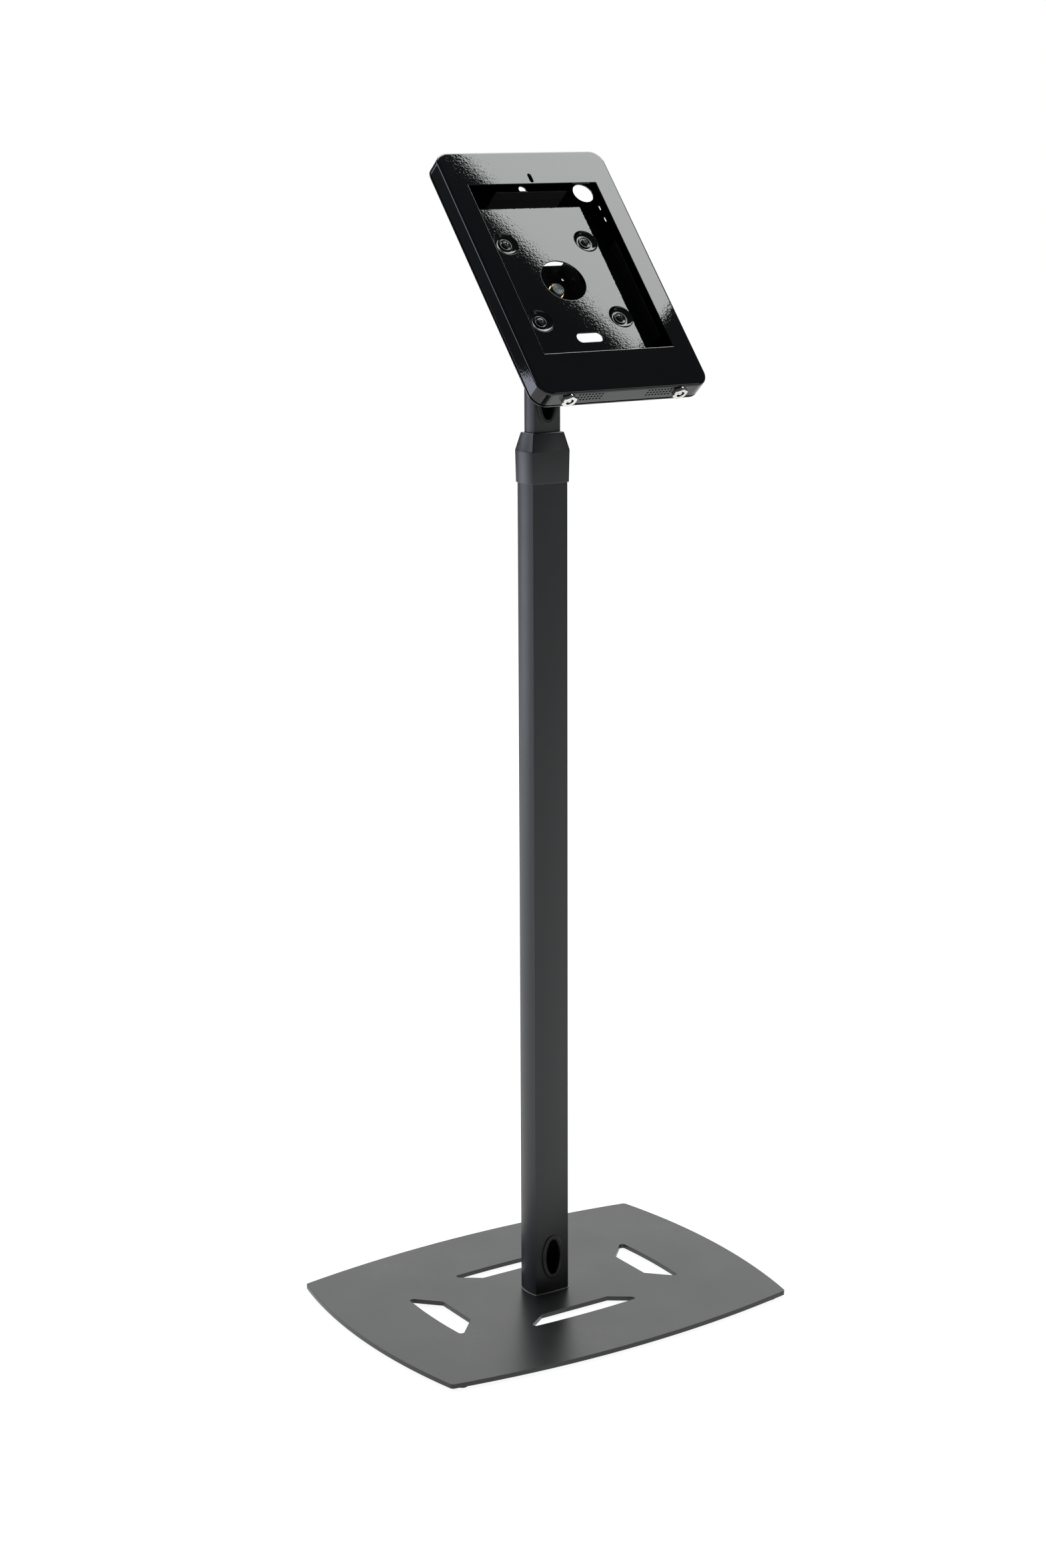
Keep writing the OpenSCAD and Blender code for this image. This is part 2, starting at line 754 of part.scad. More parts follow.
module pivot_bearing_ring() {
    color([0.75, 0.6, 0.3])
    on_enclosure() translate([0, 0, web_z + face_run]) difference() {
        cylinder(r = bearing_r, h = bearing_t);
        translate([0, 0, -eps]) cylinder(r = pivot_r + snug / 2, h = bearing_t + 2 * eps);
    }
}

module pivot_friction_disc() {
    color([0.85, 0.84, 0.78])
    on_enclosure() translate([0, 0, pivot_plate_z]) difference() {
        cylinder(r = disc_r, h = disc_t);
        translate([0, 0, -eps]) cylinder(r = pivot_r + snug / 2, h = disc_t + 2 * eps);
    }
}

module pivot_spring_washer() {
    color([0.5, 0.5, 0.5])
    on_enclosure() translate([0, 0, pivot_plate_z - pivot_plate_t - spring_t]) difference() {
        cylinder(r1 = spring_low_r, r2 = spring_high_r, h = spring_t);
        translate([0, 0, -eps]) cylinder(r = pivot_r + snug / 2, h = spring_t + 2 * eps);
    }
}

module pivot_nut() {
    color([0.5, 0.5, 0.52])
    on_enclosure() translate([0, 0, pivot_plate_z - pivot_plate_t - spring_t - pivot_nut_t]) difference() {
        cylinder(r = pivot_nut_r, h = pivot_nut_t, $fn = 6);
        translate([0, 0, -eps]) cylinder(r = pivot_r + snug / 2, h = pivot_nut_t + 2 * eps);
    }
}

// ---------------------------------------------------------------- enclosure

module at_screws() {
    for (x = [-1, 1], y = [-1, 1]) translate([x * screw_sq / 2, y * screw_sq / 2, 0]) children();
}

module channel_bracket() {
    color([0.12, 0.12, 0.13])
    on_enclosure() difference() {
        union() {
            translate([0, 0, web_z - wing_t / 2]) {
                cube([2 * (channel_half + wing_t), 2 * web_half_y, wing_t], center = true);
            }
            for (s = [-1, 1]) {
                translate([s * (channel_half + wing_t / 2), 0, (web_z - wing_t + cup_low) / 2]) {
                    cube([wing_t, 2 * web_half_y, cup_low - web_z + wing_t], center = true);
                }
                translate([s * (channel_half + wing_half) / 2, 0, cup_low - wing_t / 2]) {
                    cube([wing_half - channel_half, 2 * wing_half, wing_t], center = true);
                }
            }
        }
        translate([0, 0, web_z - wing_t - 1]) {
            cylinder(r = pivot_r + bore_run, h = wing_t + 2);
            for (p = stop_holes) translate(p) cylinder(r = stop_hole_r, h = wing_t + 2);
        }
        at_screws() translate([0, 0, cup_low - wing_t - 1]) cylinder(r = screw_r + snug, h = wing_t + 2);
    }
}

// A dished cup, stamped into the tray, round a bracket screw: its floor is flat, and runs
// up to the tray in a round dish
module dimple() {
    flat_r = dimple_r - sqrt(2 * dimple_round * dimple_depth - dimple_depth * dimple_depth);
    low_r = dimple_r - dimple_under + 0.6;
    rotate_extrude() difference() {
        polygon([
            [screw_r + snug, cup_low], [low_r, cup_low], [dimple_r, -sheet],
            [dimple_r, 0], [screw_r + snug, 0]
        ]);
        translate([-eps, -dimple_depth]) square([flat_r + blend, dimple_depth + eps]);
        intersection() {
            translate([flat_r, dimple_round - dimple_depth]) circle(r = dimple_round, $fn = 128);
            translate([flat_r, -dimple_depth - eps]) square([dimple_r, dimple_depth + 2 * eps]);
        }
    }
}

// The upstand's plan: a rounded ring inside the cover's walls
module upstand_plan() {
    w = enc_w - 2 * upstand_out;
    h = enc_h - 2 * upstand_out;
    r = enc_r - upstand_out;
    difference() {
        round_rect(w, h, r);
        round_rect(w - 2 * sheet, h - 2 * sheet, r - sheet);
    }
}

module back_tray() {
    flange_y = enc_h / 2 - upstand_out;
    lip_y = -flange_y + sheet;
    color([0.1, 0.1, 0.11])
    on_enclosure() {
        difference() {
            union() {
                translate([0, 0, -sheet]) linear_extrude(sheet) difference() {
                    round_rect(enc_w, enc_h, enc_r);
                    for (x = [-1, 1], y = [-1, 1]) translate([x, y] * screw_sq / 2) circle(r = dimple_r);
                    circle(r = hub_hole_r);
                    translate([lens_x, lens_y]) circle(r = lens_hole_r);
                    translate([0, cable_slot_y]) obround(cable_slot_len, cable_slot_w);
                    translate([cord_hole_x, cord_hole_y]) circle(r = cord_hole_r);
                    for (y = tie_slot_ys) translate([tie_slot_x, y]) {
                        square([tie_slot_w, tie_slot_len], center = true);
                    }
                }
                at_screws() dimple();
                linear_extrude(upstand_h) upstand_plan();
            }
            for (s = [-1, 1]) translate([s * lock_x, -enc_h / 2, upstand_h / 2 + eps]) {
                cube([2 * notch_half, 4 * upstand_out, upstand_h], center = true);
            }
        }
        for (s = [-1, 1]) {
            translate([s * (lock_x - notch_half - lip_len / 2), lip_y - sheet / 2, lip_low / 2 + lip_t / 2]) {
                cube([lip_len, sheet, lip_low + lip_t], center = true);
            }
            translate([s * (lock_x - notch_half - lip_len / 2), lip_y + lip_in / 2 - eps, lip_low + lip_t / 2]) {
                cube([lip_len, lip_in, lip_t], center = true);
            }
            translate([s * hook_x, flange_y + (upstand_out + hook_out) / 2 - eps, hook_low + hook_t / 2]) {
                cube([2 * hook_half, upstand_out + hook_out, hook_t], center = true);
            }
        }
    }
}

module bracket_screws() {
    top = -dimple_depth + washer_t;
    color([0.75, 0.75, 0.73])
    on_enclosure() at_screws() difference() {
        union() {
            translate([0, 0, top]) cylinder(r1 = head_r, r2 = head_r - 0.9, h = head_h);
            translate([0, 0, cup_low - wing_t - nut_h - screw_tail]) {
                cylinder(r = screw_r, h = top - cup_low + wing_t + nut_h + screw_tail + eps);
            }
        }
        for (a = [0, 90]) translate([0, 0, top + head_h]) rotate(a) {
            cube([cross_len, cross_w, 2 * cross_deep], center = true);
        }
    }
}

module bracket_washers() {
    color([0.6, 0.6, 0.6])
    on_enclosure() at_screws() translate([0, 0, -dimple_depth]) difference() {
        cylinder(r = washer_r, h = washer_t);
        translate([0, 0, -eps]) cylinder(r = screw_r + snug, h = washer_t + 2 * eps);
    }
}

module bracket_nuts() {
    color([0.55, 0.55, 0.56])
    on_enclosure() at_screws() translate([0, 0, cup_low - wing_t - nut_h]) difference() {
        cylinder(r = nut_r, h = nut_h, $fn = 6);
        translate([0, 0, -eps]) cylinder(r = screw_r + snug / 2, h = nut_h + 2 * eps);
    }
}

// The rails that the tablet's back rests on, each standing on the tray
module rest_rail(x, y, w, h) {
    color([0.1, 0.1, 0.11])
    on_enclosure() translate([x, y, rail_h / 2]) cube([w, h, rail_h], center = true);
}

module rest_rail_top() {
    rest_rail(0, rail_y, rail_long, sheet);
}

module rest_rail_bottom() {
    rest_rail(0, -rail_y, rail_long, sheet);
}

module rest_rail_left() {
    rest_rail(-rail_gap / 2, rail_side_mid, sheet, rail_side);
}

module rest_rail_right() {
    rest_rail(rail_gap / 2, rail_side_mid, sheet, rail_side);
}

// ---------------------------------------------------------------- cover

// Section through the cover's edge, from the centre of its corner arc outwards: a strip of
// the face, the rounded edge, and the side wall
module edge_section() {
    in_r = max(edge_r - sheet, 0.5);
    difference() {
        union() {
            translate([0, rim_gap]) square([enc_r, face_z - rim_gap - edge_r]);
            translate([0, rim_gap]) square([enc_r - edge_r, face_z - rim_gap]);
            translate([enc_r - edge_r, face_z - edge_r]) circle(r = edge_r);
        }
        translate([-eps, rim_gap - eps]) square([enc_r - sheet + eps, face_z - sheet - in_r - rim_gap + eps]);
        translate([-eps, rim_gap - eps]) square([enc_r - sheet - in_r + eps, face_z - sheet - rim_gap + eps]);
        translate([enc_r - sheet - in_r, face_z - sheet - in_r]) circle(r = in_r);
    }
}

// The section carried round the cover's outline
module edge_sweep() {
    cx = enc_w / 2 - enc_r;
    cy = enc_h / 2 - enc_r;
    for (s = [-1, 1]) {
        translate([s * cx, s * cy, 0]) rotate([90, 0, s > 0 ? 0 : 180]) linear_extrude(2 * cy) edge_section();
        translate([-s * cx, s * cy, 0]) rotate([90, 0, s > 0 ? 90 : 270]) linear_extrude(2 * cx) edge_section();
    }
    for (i = [0 : 3]) {
        x = (i == 0 || i == 3) ? cx : -cx;
        y = i < 2 ? cy : -cy;
        translate([x, y, 0]) rotate(90 * i) rotate_extrude(angle = 90) edge_section();
    }
}

module front_cover() {
    color([0.12, 0.12, 0.13])
    on_enclosure() {
        difference() {
            union() {
                edge_sweep();
                translate([0, 0, face_z - sheet / 2]) {
                    cube([enc_w - 2 * enc_r, enc_h - 2 * enc_r, sheet], center = true);
                }
            }
            translate([0, win_up, face_z]) cube([win_w, win_h, 4 * sheet], center = true);
            translate([0, cam_slot_y, face_z - 2 * sheet]) linear_extrude(3 * sheet) rotate(90) {
                obround(cam_slot_len, cam_slot_w);
            }
            for (s = [-1, 1]) {
                along_y(s * lock_x, lock_y - 1, lock_z, lock_barrel_r + snug, sheet + 2);
                for (i = [0 : vent_cols - 1], j = [0 : vent_rows - 1]) {
                    x = s * vent_x + (i - (vent_cols - 1) / 2) * vent_pitch;
                    z = vent_z + (j - (vent_rows - 1) / 2) * vent_pitch;
                    along_y(x, lock_y - 1, z, vent_r, sheet + 2, 24);
                }
                translate([s * hook_x, enc_h / 2 - sheet / 2, hook_low + hook_slot_up / 2 - 1]) {
                    cube([2 * hook_half + 2, 2 * sheet, hook_slot_up], center = true);
                }
            }
            translate([0, hinge_y, rim_gap]) cube([2 * roll_half, 2 * sheet, 2 * roll_r], center = true);
        }
        translate([-roll_half, hinge_y, hinge_z]) rotate([0, 90, 0]) cylinder(r = roll_r, h = 2 * roll_half);
    }
}

// A lock's body: a six-sided head with a coned edge, and a threaded barrel
module lock_body(x) {
    color([0.85, 0.84, 0.8])
    on_enclosure() difference() {
        union() {
            intersection() {
                along_y(x, lock_y - lock_proud, lock_z, lock_head_r, lock_proud, 6);
                translate([x, lock_y - lock_proud, lock_z]) rotate([-90, 0, 0]) {
                    cylinder(r1 = lock_head_r - 1.6, r2 = lock_head_r + 0.6, h = lock_proud);
                }
            }
            along_y(x, lock_y - eps, lock_z, lock_barrel_r, lock_back - lock_y + eps);
        }
        along_y(x, lock_y - lock_proud - 1, lock_z, lock_core_r + bore_run, lock_back - lock_y + lock_proud + 2);
    }
}

module lock_body_left() {
    lock_body(-lock_x);
}

module lock_body_right() {
    lock_body(lock_x);
}

module lock_nut(x) {
    color([0.7, 0.7, 0.7])
    on_enclosure() difference() {
        along_y(x, lock_y + sheet, lock_z, lock_nut_r, lock_nut_t, 6);
        along_y(x, lock_y + sheet - 1, lock_z, lock_barrel_r + snug / 2, lock_nut_t + 2);
    }
}

module lock_nut_left() {
    lock_nut(-lock_x);
}

module lock_nut_right() {
    lock_nut(lock_x);
}

// The turning core, with its ring keyway and its centre post
module lock_core(x) {
    front = lock_y - lock_proud + 0.4;
    color([0.8, 0.79, 0.76])
    on_enclosure() difference() {
        union() {
            along_y(x, front, lock_z, lock_core_r, cam_front - front);
            along_y(x, cam_front - eps, lock_z, cam_hole_r - snug / 2, cam_t);
        }
        difference() {
            along_y(x, front - 1, lock_z, keyway_out, keyway_deep + 1);
            along_y(x, front - 2, lock_z, keyway_in, keyway_deep + 2);
        }
        translate([x, front + keyway_deep / 2 - eps, lock_z + keyway_out]) {
            cube([1, keyway_deep, 1.4], center = true);
        }
    }
}

module lock_core_left() {
    lock_core(-lock_x);
}

module lock_core_right() {
    lock_core(lock_x);
}

// The cam points at the tray floor when the lock is open
module lock_cam(x) {
    color([0.65, 0.65, 0.66])
    on_enclosure() translate([x, cam_front, lock_z]) rotate([-90, 0, 0]) difference() {
        linear_extrude(cam_t) {
            circle(r = cam_half + 1.4);
            translate([-cam_half, 0]) square([2 * cam_half, cam_reach]);
        }
        translate([0, 0, -eps]) cylinder(r = cam_hole_r, h = cam_t + 2 * eps);
    }
}

module lock_cam_left() {
    lock_cam(-lock_x);
}

module lock_cam_right() {
    lock_cam(lock_x);
}

module cam_screw(x) {
    color([0.7, 0.7, 0.7])
    on_enclosure() along_y(x, cam_front + cam_t, lock_z, cam_hole_r + 1.2, 1.8);
}

module cam_screw_left() {
    cam_screw(-lock_x);
}

module cam_screw_right() {
    cam_screw(lock_x);
}

// ---------------------------------------------------------------- parts

base_plate();
rubber_feet();
base_screws();
column_block();
column_seal();
outer_column();
lower_port_ring();
guide_bush();
collar();
height_lock_screw();
inner_tube();
tube_glide();
upper_port_ring();
tilt_head();
tilt_head_pins();
tilt_bracket();
tilt_bolt();
tilt_nut();
tilt_friction_discs();
pivot_bolt();
pivot_bearing_ring();
pivot_friction_disc();
pivot_spring_washer();
pivot_nut();
channel_bracket();
back_tray();
bracket_screws();
bracket_washers();
bracket_nuts();
rest_rail_top();
rest_rail_bottom();
rest_rail_left();
rest_rail_right();
front_cover();
lock_body_left();
lock_body_right();
lock_nut_left();
lock_nut_right();
lock_core_left();
lock_core_right();
lock_cam_left();
lock_cam_right();
cam_screw_left();
cam_screw_right();
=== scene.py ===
"""Free-standing kiosk with a lockable enclosure: finishes, fine pieces, floor, light and camera.

Every length is in metres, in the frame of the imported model: the floor is z = 0, the
column's axis is the Z axis and the front faces -Y. The enclosure has a frame of its own,
(u, v, n): u across, v up its face and n out of its face, with n = 0 on its tray's floor.
"""

import json
import logging
import math
from dataclasses import dataclass
from enum import Enum

import bmesh
import bpy
import numpy as np
from mathutils import Matrix, Vector


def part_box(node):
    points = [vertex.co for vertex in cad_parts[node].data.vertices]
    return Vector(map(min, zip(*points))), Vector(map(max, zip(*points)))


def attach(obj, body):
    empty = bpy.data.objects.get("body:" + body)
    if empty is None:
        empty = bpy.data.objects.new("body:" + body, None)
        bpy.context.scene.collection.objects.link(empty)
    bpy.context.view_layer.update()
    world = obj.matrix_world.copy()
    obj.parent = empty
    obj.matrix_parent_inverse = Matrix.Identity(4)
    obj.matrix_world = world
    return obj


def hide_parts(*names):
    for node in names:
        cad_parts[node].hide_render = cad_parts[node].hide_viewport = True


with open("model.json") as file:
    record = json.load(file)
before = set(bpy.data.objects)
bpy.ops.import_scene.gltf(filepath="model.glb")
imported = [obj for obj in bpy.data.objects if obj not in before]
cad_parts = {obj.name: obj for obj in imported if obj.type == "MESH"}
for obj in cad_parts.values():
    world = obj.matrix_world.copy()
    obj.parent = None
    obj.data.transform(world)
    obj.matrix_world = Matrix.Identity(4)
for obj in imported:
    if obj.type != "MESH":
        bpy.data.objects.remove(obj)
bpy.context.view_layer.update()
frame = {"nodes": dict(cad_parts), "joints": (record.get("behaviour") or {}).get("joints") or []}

LOG = logging.getLogger("kiosk")
Colour = tuple[float, float, float]
MERGE = 1e-7
SHARP_ANGLE = math.radians(38.0)
EDGE_SAMPLES = 4
SOFT_SAMPLES = 6
CRISP_FADE = 0.002
CRISP_SHARE = 1 / 3
DUST_COLOUR = (0.42, 0.41, 0.39, 1)
DUST_ROUGH = 0.4


# ------------------------------------------------------------------ node groups


class Group(Enum):
    """The shared surface effects, one shader node group each."""

    PEEL = "coat_relief"
    HANDLED = "handled_film"
    EDGE = "rubbed_edge"
    DUST = "settled_dust"


def new_group(kind: Group, inputs: dict[str, float], outputs: dict[str, str]) -> bpy.types.NodeTree:
    """Makes an empty shader node group with named sockets.

    Args:
        kind: which effect the group is.
        inputs: the number inputs and their defaults.
        outputs: the outputs and their socket types.

    Returns:
        The new node group.
    """
    tree = bpy.data.node_groups.new(kind.value, "ShaderNodeTree")
    for name, value in inputs.items():
        socket = tree.interface.new_socket(name=name, in_out="INPUT", socket_type="NodeSocketFloat")
        socket.default_value = value
    for name, kind_of in outputs.items():
        tree.interface.new_socket(name=name, in_out="OUTPUT", socket_type=kind_of)
    tree.nodes.new("NodeGroupInput").name = "in"
    tree.nodes.new("NodeGroupOutput").name = "out"
    return tree


class Wiring:
    """Short calls for placing and joining the nodes of one tree."""

    def __init__(self, tree: bpy.types.NodeTree) -> None:
        """Keeps the tree that the calls work on.

        Args:
            tree: the node tree.
        """
        self.tree = tree

    def add(self, kind: str, links: dict | None = None, **settings: object) -> bpy.types.Node:
        """Adds a node.

        Args:
            kind: Blender's name for the node type.
            links: input name or number, to a number, a colour or an output socket.
            settings: attributes of the node itself.

        Returns:
            The new node.
        """
        node = self.tree.nodes.new(kind)
        for key, value in settings.items():
            setattr(node, key, value)
        for key, value in (links or {}).items():
            if isinstance(value, bpy.types.NodeSocket):
                self.tree.links.new(value, node.inputs[key])
            else:
                node.inputs[key].default_value = value
        return node

    def math(self, operation: str, a: object, b: object = 0.0, clamp: bool = False) -> bpy.types.NodeSocket:
        """Adds a Math node and returns its output.

        Args:
            operation: the node's operation.
            a: the first number or socket.
            b: the second number or socket.
            clamp: holds the result between 0 and 1.

        Returns:
            The node's output.
        """
        return self.add("ShaderNodeMath", {0: a, 1: b}, operation=operation, use_clamp=clamp).outputs[0]

    def spread(self, value: object, low: float, high: float, to_low: float,
               to_high: float) -> bpy.types.NodeSocket:
        """Maps low..high onto to_low..to_high, held at both ends, and returns the output.

        Args:
            value: the number or socket to map.
            low, high: the range it comes from.
            to_low, to_high: the range it goes to.

        Returns:
            The mapped value.
        """
        links = {"Value": value, "From Min": low, "From Max": high, "To Min": to_low, "To Max": to_high}
        return self.add("ShaderNodeMapRange", links).outputs[0]

    def noise(self, scale: object, detail: float, rough: float = 0.5, **more: object) -> bpy.types.Node:
        """Adds a Noise node on Object coordinates.

        Args:
            scale: counts per metre, as a number or a socket.
            detail: how many finer layers there are.
            rough: how strong the finer layers are.
            more: attributes of the node itself.

        Returns:
            The new node.
        """
        where = self.add("ShaderNodeTexCoord").outputs["Object"]
        links = {"Vector": where, "Scale": scale, "Detail": detail, "Roughness": rough}
        return self.add("ShaderNodeTexNoise", links, **more)


def build_groups() -> dict[Group, bpy.types.NodeTree]:
    """Builds the shared effects.

    Returns:
        The node group of each effect.
    """
    made = {}
    # relief: height = (1 - share) * soft waves + share * fine grain
    knobs = {"Wave": 300.0, "Grain": 1800.0, "Share": 0.2}
    tree = new_group(Group.PEEL, knobs, {"Height": "NodeSocketFloat"})
    w, inputs = Wiring(tree), tree.nodes["in"].outputs
    wave = w.noise(inputs["Wave"], 1.5, 0.45).outputs["Fac"]
    grain = w.noise(inputs["Grain"], 2.0, 0.6).outputs["Fac"]
    mixed = w.add("ShaderNodeMix", {0: inputs["Share"], 2: wave, 3: grain}).outputs[0]
    tree.links.new(mixed, tree.nodes["out"].inputs["Height"])
    made[Group.PEEL] = tree

    # film: broad cloudy patches and small marks, 0 where clean and 1 where handled
    tree = new_group(Group.HANDLED, {"Scale": 9.0, "Marks": 140.0}, {"Mask": "NodeSocketFloat"})
    w, inputs = Wiring(tree), tree.nodes["in"].outputs
    cloud = w.spread(w.noise(inputs["Scale"], 4.0, 0.6).outputs["Fac"], 0.35, 0.7, 0.0, 1.0)
    marks = w.spread(w.noise(inputs["Marks"], 3.0, 0.7).outputs["Fac"], 0.55, 0.75, 0.0, 1.0)
    total = w.math("ADD", w.math("MULTIPLY", cloud, 0.7), w.math("MULTIPLY", marks, 0.3), True)
    tree.links.new(total, tree.nodes["out"].inputs["Mask"])
    made[Group.HANDLED] = tree

    # edge: how far the rounded normal turns from the flat one, broken up by noise
    tree = new_group(Group.EDGE, {"Radius": 0.0006, "Break": 260.0}, {"Mask": "NodeSocketFloat"})
    w, inputs = Wiring(tree), tree.nodes["in"].outputs
    bevel = w.add("ShaderNodeBevel", {"Radius": inputs["Radius"]}, samples=EDGE_SAMPLES).outputs[0]
    flat = w.add("ShaderNodeNewGeometry").outputs["Normal"]
    turn = w.add("ShaderNodeVectorMath", {0: bevel, 1: flat}, operation="DOT_PRODUCT").outputs["Value"]
    rim = w.spread(turn, 0.995, 0.8, 0.0, 1.0)
    broken = w.spread(w.noise(inputs["Break"], 4.0, 0.65).outputs["Fac"], 0.4, 0.62, 0.0, 1.0)
    tree.links.new(w.math("MULTIPLY", rim, broken, True), tree.nodes["out"].inputs["Mask"])
    made[Group.EDGE] = tree

    # dust: sparse specks that lie on faces which look up
    tree = new_group(Group.DUST, {"Scale": 900.0, "Amount": 0.4}, {"Mask": "NodeSocketFloat"})
    w, inputs = Wiring(tree), tree.nodes["in"].outputs
    up = w.add("ShaderNodeSeparateXYZ", {0: w.add("ShaderNodeNewGeometry").outputs["Normal"]}).outputs["Z"]
    specks = w.spread(w.noise(inputs["Scale"], 2.0, 0.6).outputs["Fac"], 0.66, 0.78, 0.0, 1.0)
    drift = w.spread(w.noise(14.0, 3.0).outputs["Fac"], 0.4, 0.7, 0.2, 1.0)
    total = w.math("MULTIPLY", w.math("MULTIPLY", specks, drift), w.spread(up, 0.2, 0.9, 0.0, 1.0))
    tree.links.new(w.math("MULTIPLY", total, inputs["Amount"], True), tree.nodes["out"].inputs["Mask"])
    made[Group.DUST] = tree

    return made


# ------------------------------------------------------------------ finishes


@dataclass(frozen=True)
class Finish:
    """One finish: the numbers its material is built from.

    Relief is the bump's distance in metres; wave and grain are counts per metre. The round
    value is the radius over which sharp edges are shaded as rounded; below the crisp height
    it shrinks to a third, so that small holes there keep clear rims.
    """

    name: str
    colour: Colour
    worn: Colour
    rough: tuple[float, float]
    metal: float = 0.0
    specular: float = 0.5
    wave: float = 300.0
    grain: float = 1800.0
    share: float = 0.2
    relief: float = 0.0
    round: float = 0.0004
    crisp: float = 0.0
    wear: float = 0.25
    dust: float = 0.0

    def build(self, groups: dict[Group, bpy.types.NodeTree]) -> bpy.types.Material:
        """Builds the material.

        Args:
            groups: the shared effects.

        Returns:
            The finished material.
        """
        material = bpy.data.materials.new(self.name)
        material.use_nodes = True
        tree = material.node_tree
        w = Wiring(tree)
        body = tree.nodes["Principled BSDF"]
        knobs = {"Wave": self.wave, "Grain": self.grain, "Share": self.share}
        relief = self._place(w, groups[Group.PEEL], knobs)
        film = self._place(w, groups[Group.HANDLED], {})
        radius = self._radius(w)
        edge = self._place(w, groups[Group.EDGE], {"Radius": radius})
        shade = self._blend(w, film, (*self.colour, 1), (*self._lift(), 1))
        rubbed = w.math("MULTIPLY", edge, self.wear)
        top = self._blend(w, rubbed, shade, (*self.worn, 1))
        rough = w.spread(film, 0.0, 1.0, self.rough[0], self.rough[1])
        if self.dust > 0:
            specks = self._place(w, groups[Group.DUST], {"Amount": self.dust})
            top = self._blend(w, specks, top, DUST_COLOUR)
            rough = w.math("ADD", rough, w.math("MULTIPLY", specks, DUST_ROUGH), True)
        soft = w.add("ShaderNodeBevel", {"Radius": radius}, samples=SOFT_SAMPLES).outputs[0]
        links = {"Strength": 1.0, "Distance": self.relief, "Height": relief, "Normal": soft}
        bump = w.add("ShaderNodeBump", links)
        tree.links.new(top, body.inputs["Base Color"])
        tree.links.new(rough, body.inputs["Roughness"])
        tree.links.new(bump.outputs[0], body.inputs["Normal"])
        body.inputs["Metallic"].default_value = self.metal
        body.inputs["Specular IOR Level"].default_value = self.specular
        return material

    def _radius(self, w: Wiring) -> object:
        """The rounding radius: one number, or a height-led value where a crisp height is set.

        Args:
            w: the material's wiring.

        Returns:
            A number or a socket.
        """
        if self.crisp == 0:
            return self.round
        where = w.add("ShaderNodeTexCoord").outputs["Object"]
        height = w.add("ShaderNodeSeparateXYZ", {0: where}).outputs["Z"]
        return w.spread(height, self.crisp - CRISP_FADE, self.crisp, self.round * CRISP_SHARE, self.round)

    def _lift(self) -> Colour:
        """The colour where the surface has been handled, a little paler.

        Returns:
            The paler colour.
        """
        return tuple(min(1.0, c * 1.25 + 0.002) for c in self.colour)

    @staticmethod
    def _blend(w: Wiring, share: object, first: object, second: object) -> bpy.types.NodeSocket:
        """Mixes two colours by a share and returns the output.

        Args:
            w: the material's wiring.
            share: how much of the second colour shows.
            first: the first colour or socket.
            second: the second colour or socket.

        Returns:
            The mixed colour.
        """
        return w.add("ShaderNodeMix", {0: share, 6: first, 7: second}, data_type="RGBA").outputs[2]

    @staticmethod
    def _place(w: Wiring, group: bpy.types.NodeTree, values: dict[str, object]) -> bpy.types.NodeSocket:
        """Places a group node with its values or links and returns its output.

        Args:
            w: the material's wiring.
            group: the shared effect.
            values: input names, to numbers or sockets.

        Returns:
            The group's output.
        """
        node = w.add("ShaderNodeGroup", node_tree=group)
        for name, value in values.items():
            if isinstance(value, bpy.types.NodeSocket):
                w.tree.links.new(value, node.inputs[name])
            else:
                node.inputs[name].default_value = value
        return node.outputs[0]


GLOSS = Finish("gloss_powder_coat", (0.0022, 0.0025, 0.0031), (0.11, 0.11, 0.115), (0.016, 0.03),
               wave=400.0, grain=1300.0, share=0.10, relief=0.000020, round=0.0006, crisp=1.052, wear=0.3,
               dust=0.02)
GLOSS_TRAY = Finish("gloss_tray_coat", (0.0022, 0.0024, 0.0028), (0.11, 0.11, 0.115), (0.016, 0.03),
                    wave=430.0, grain=1300.0, share=0.10, relief=0.000019, round=0.0006, wear=0.3, dust=0.02)
# painted light: the rails are painted paler than the tray's black coat, standing in for the light lines on
# them inside the shaded enclosure
RAIL_PAINTED_LIGHTER = Finish("rail_coat_painted_lighter", (0.007, 0.0072, 0.0078), (0.10, 0.10, 0.105), (0.14, 0.22),
              wave=430.0, grain=1300.0, share=0.10, relief=0.000015, round=0.0006, wear=0.4)
BRACKET = Finish("satin_bracket_coat", (0.010, 0.010, 0.0105), (0.02, 0.02, 0.022), (0.16, 0.24),
                 wave=500.0, grain=1900.0, share=0.4, relief=0.00002, round=0.0004, wear=0.15)
SATIN = Finish("satin_powder_coat", (0.017, 0.018, 0.020), (0.06, 0.06, 0.062), (0.34, 0.42),
               wave=1100.0, grain=3800.0, share=0.6, relief=0.00005, round=0.0006, wear=0.2, dust=0.08)
PLATE = Finish("satin_plate_coat", (0.011, 0.0114, 0.0117), (0.06, 0.06, 0.062), (0.27, 0.36),
               wave=1100.0, grain=3800.0, share=0.6, relief=0.00005, round=0.0008, wear=0.25, dust=0.04)
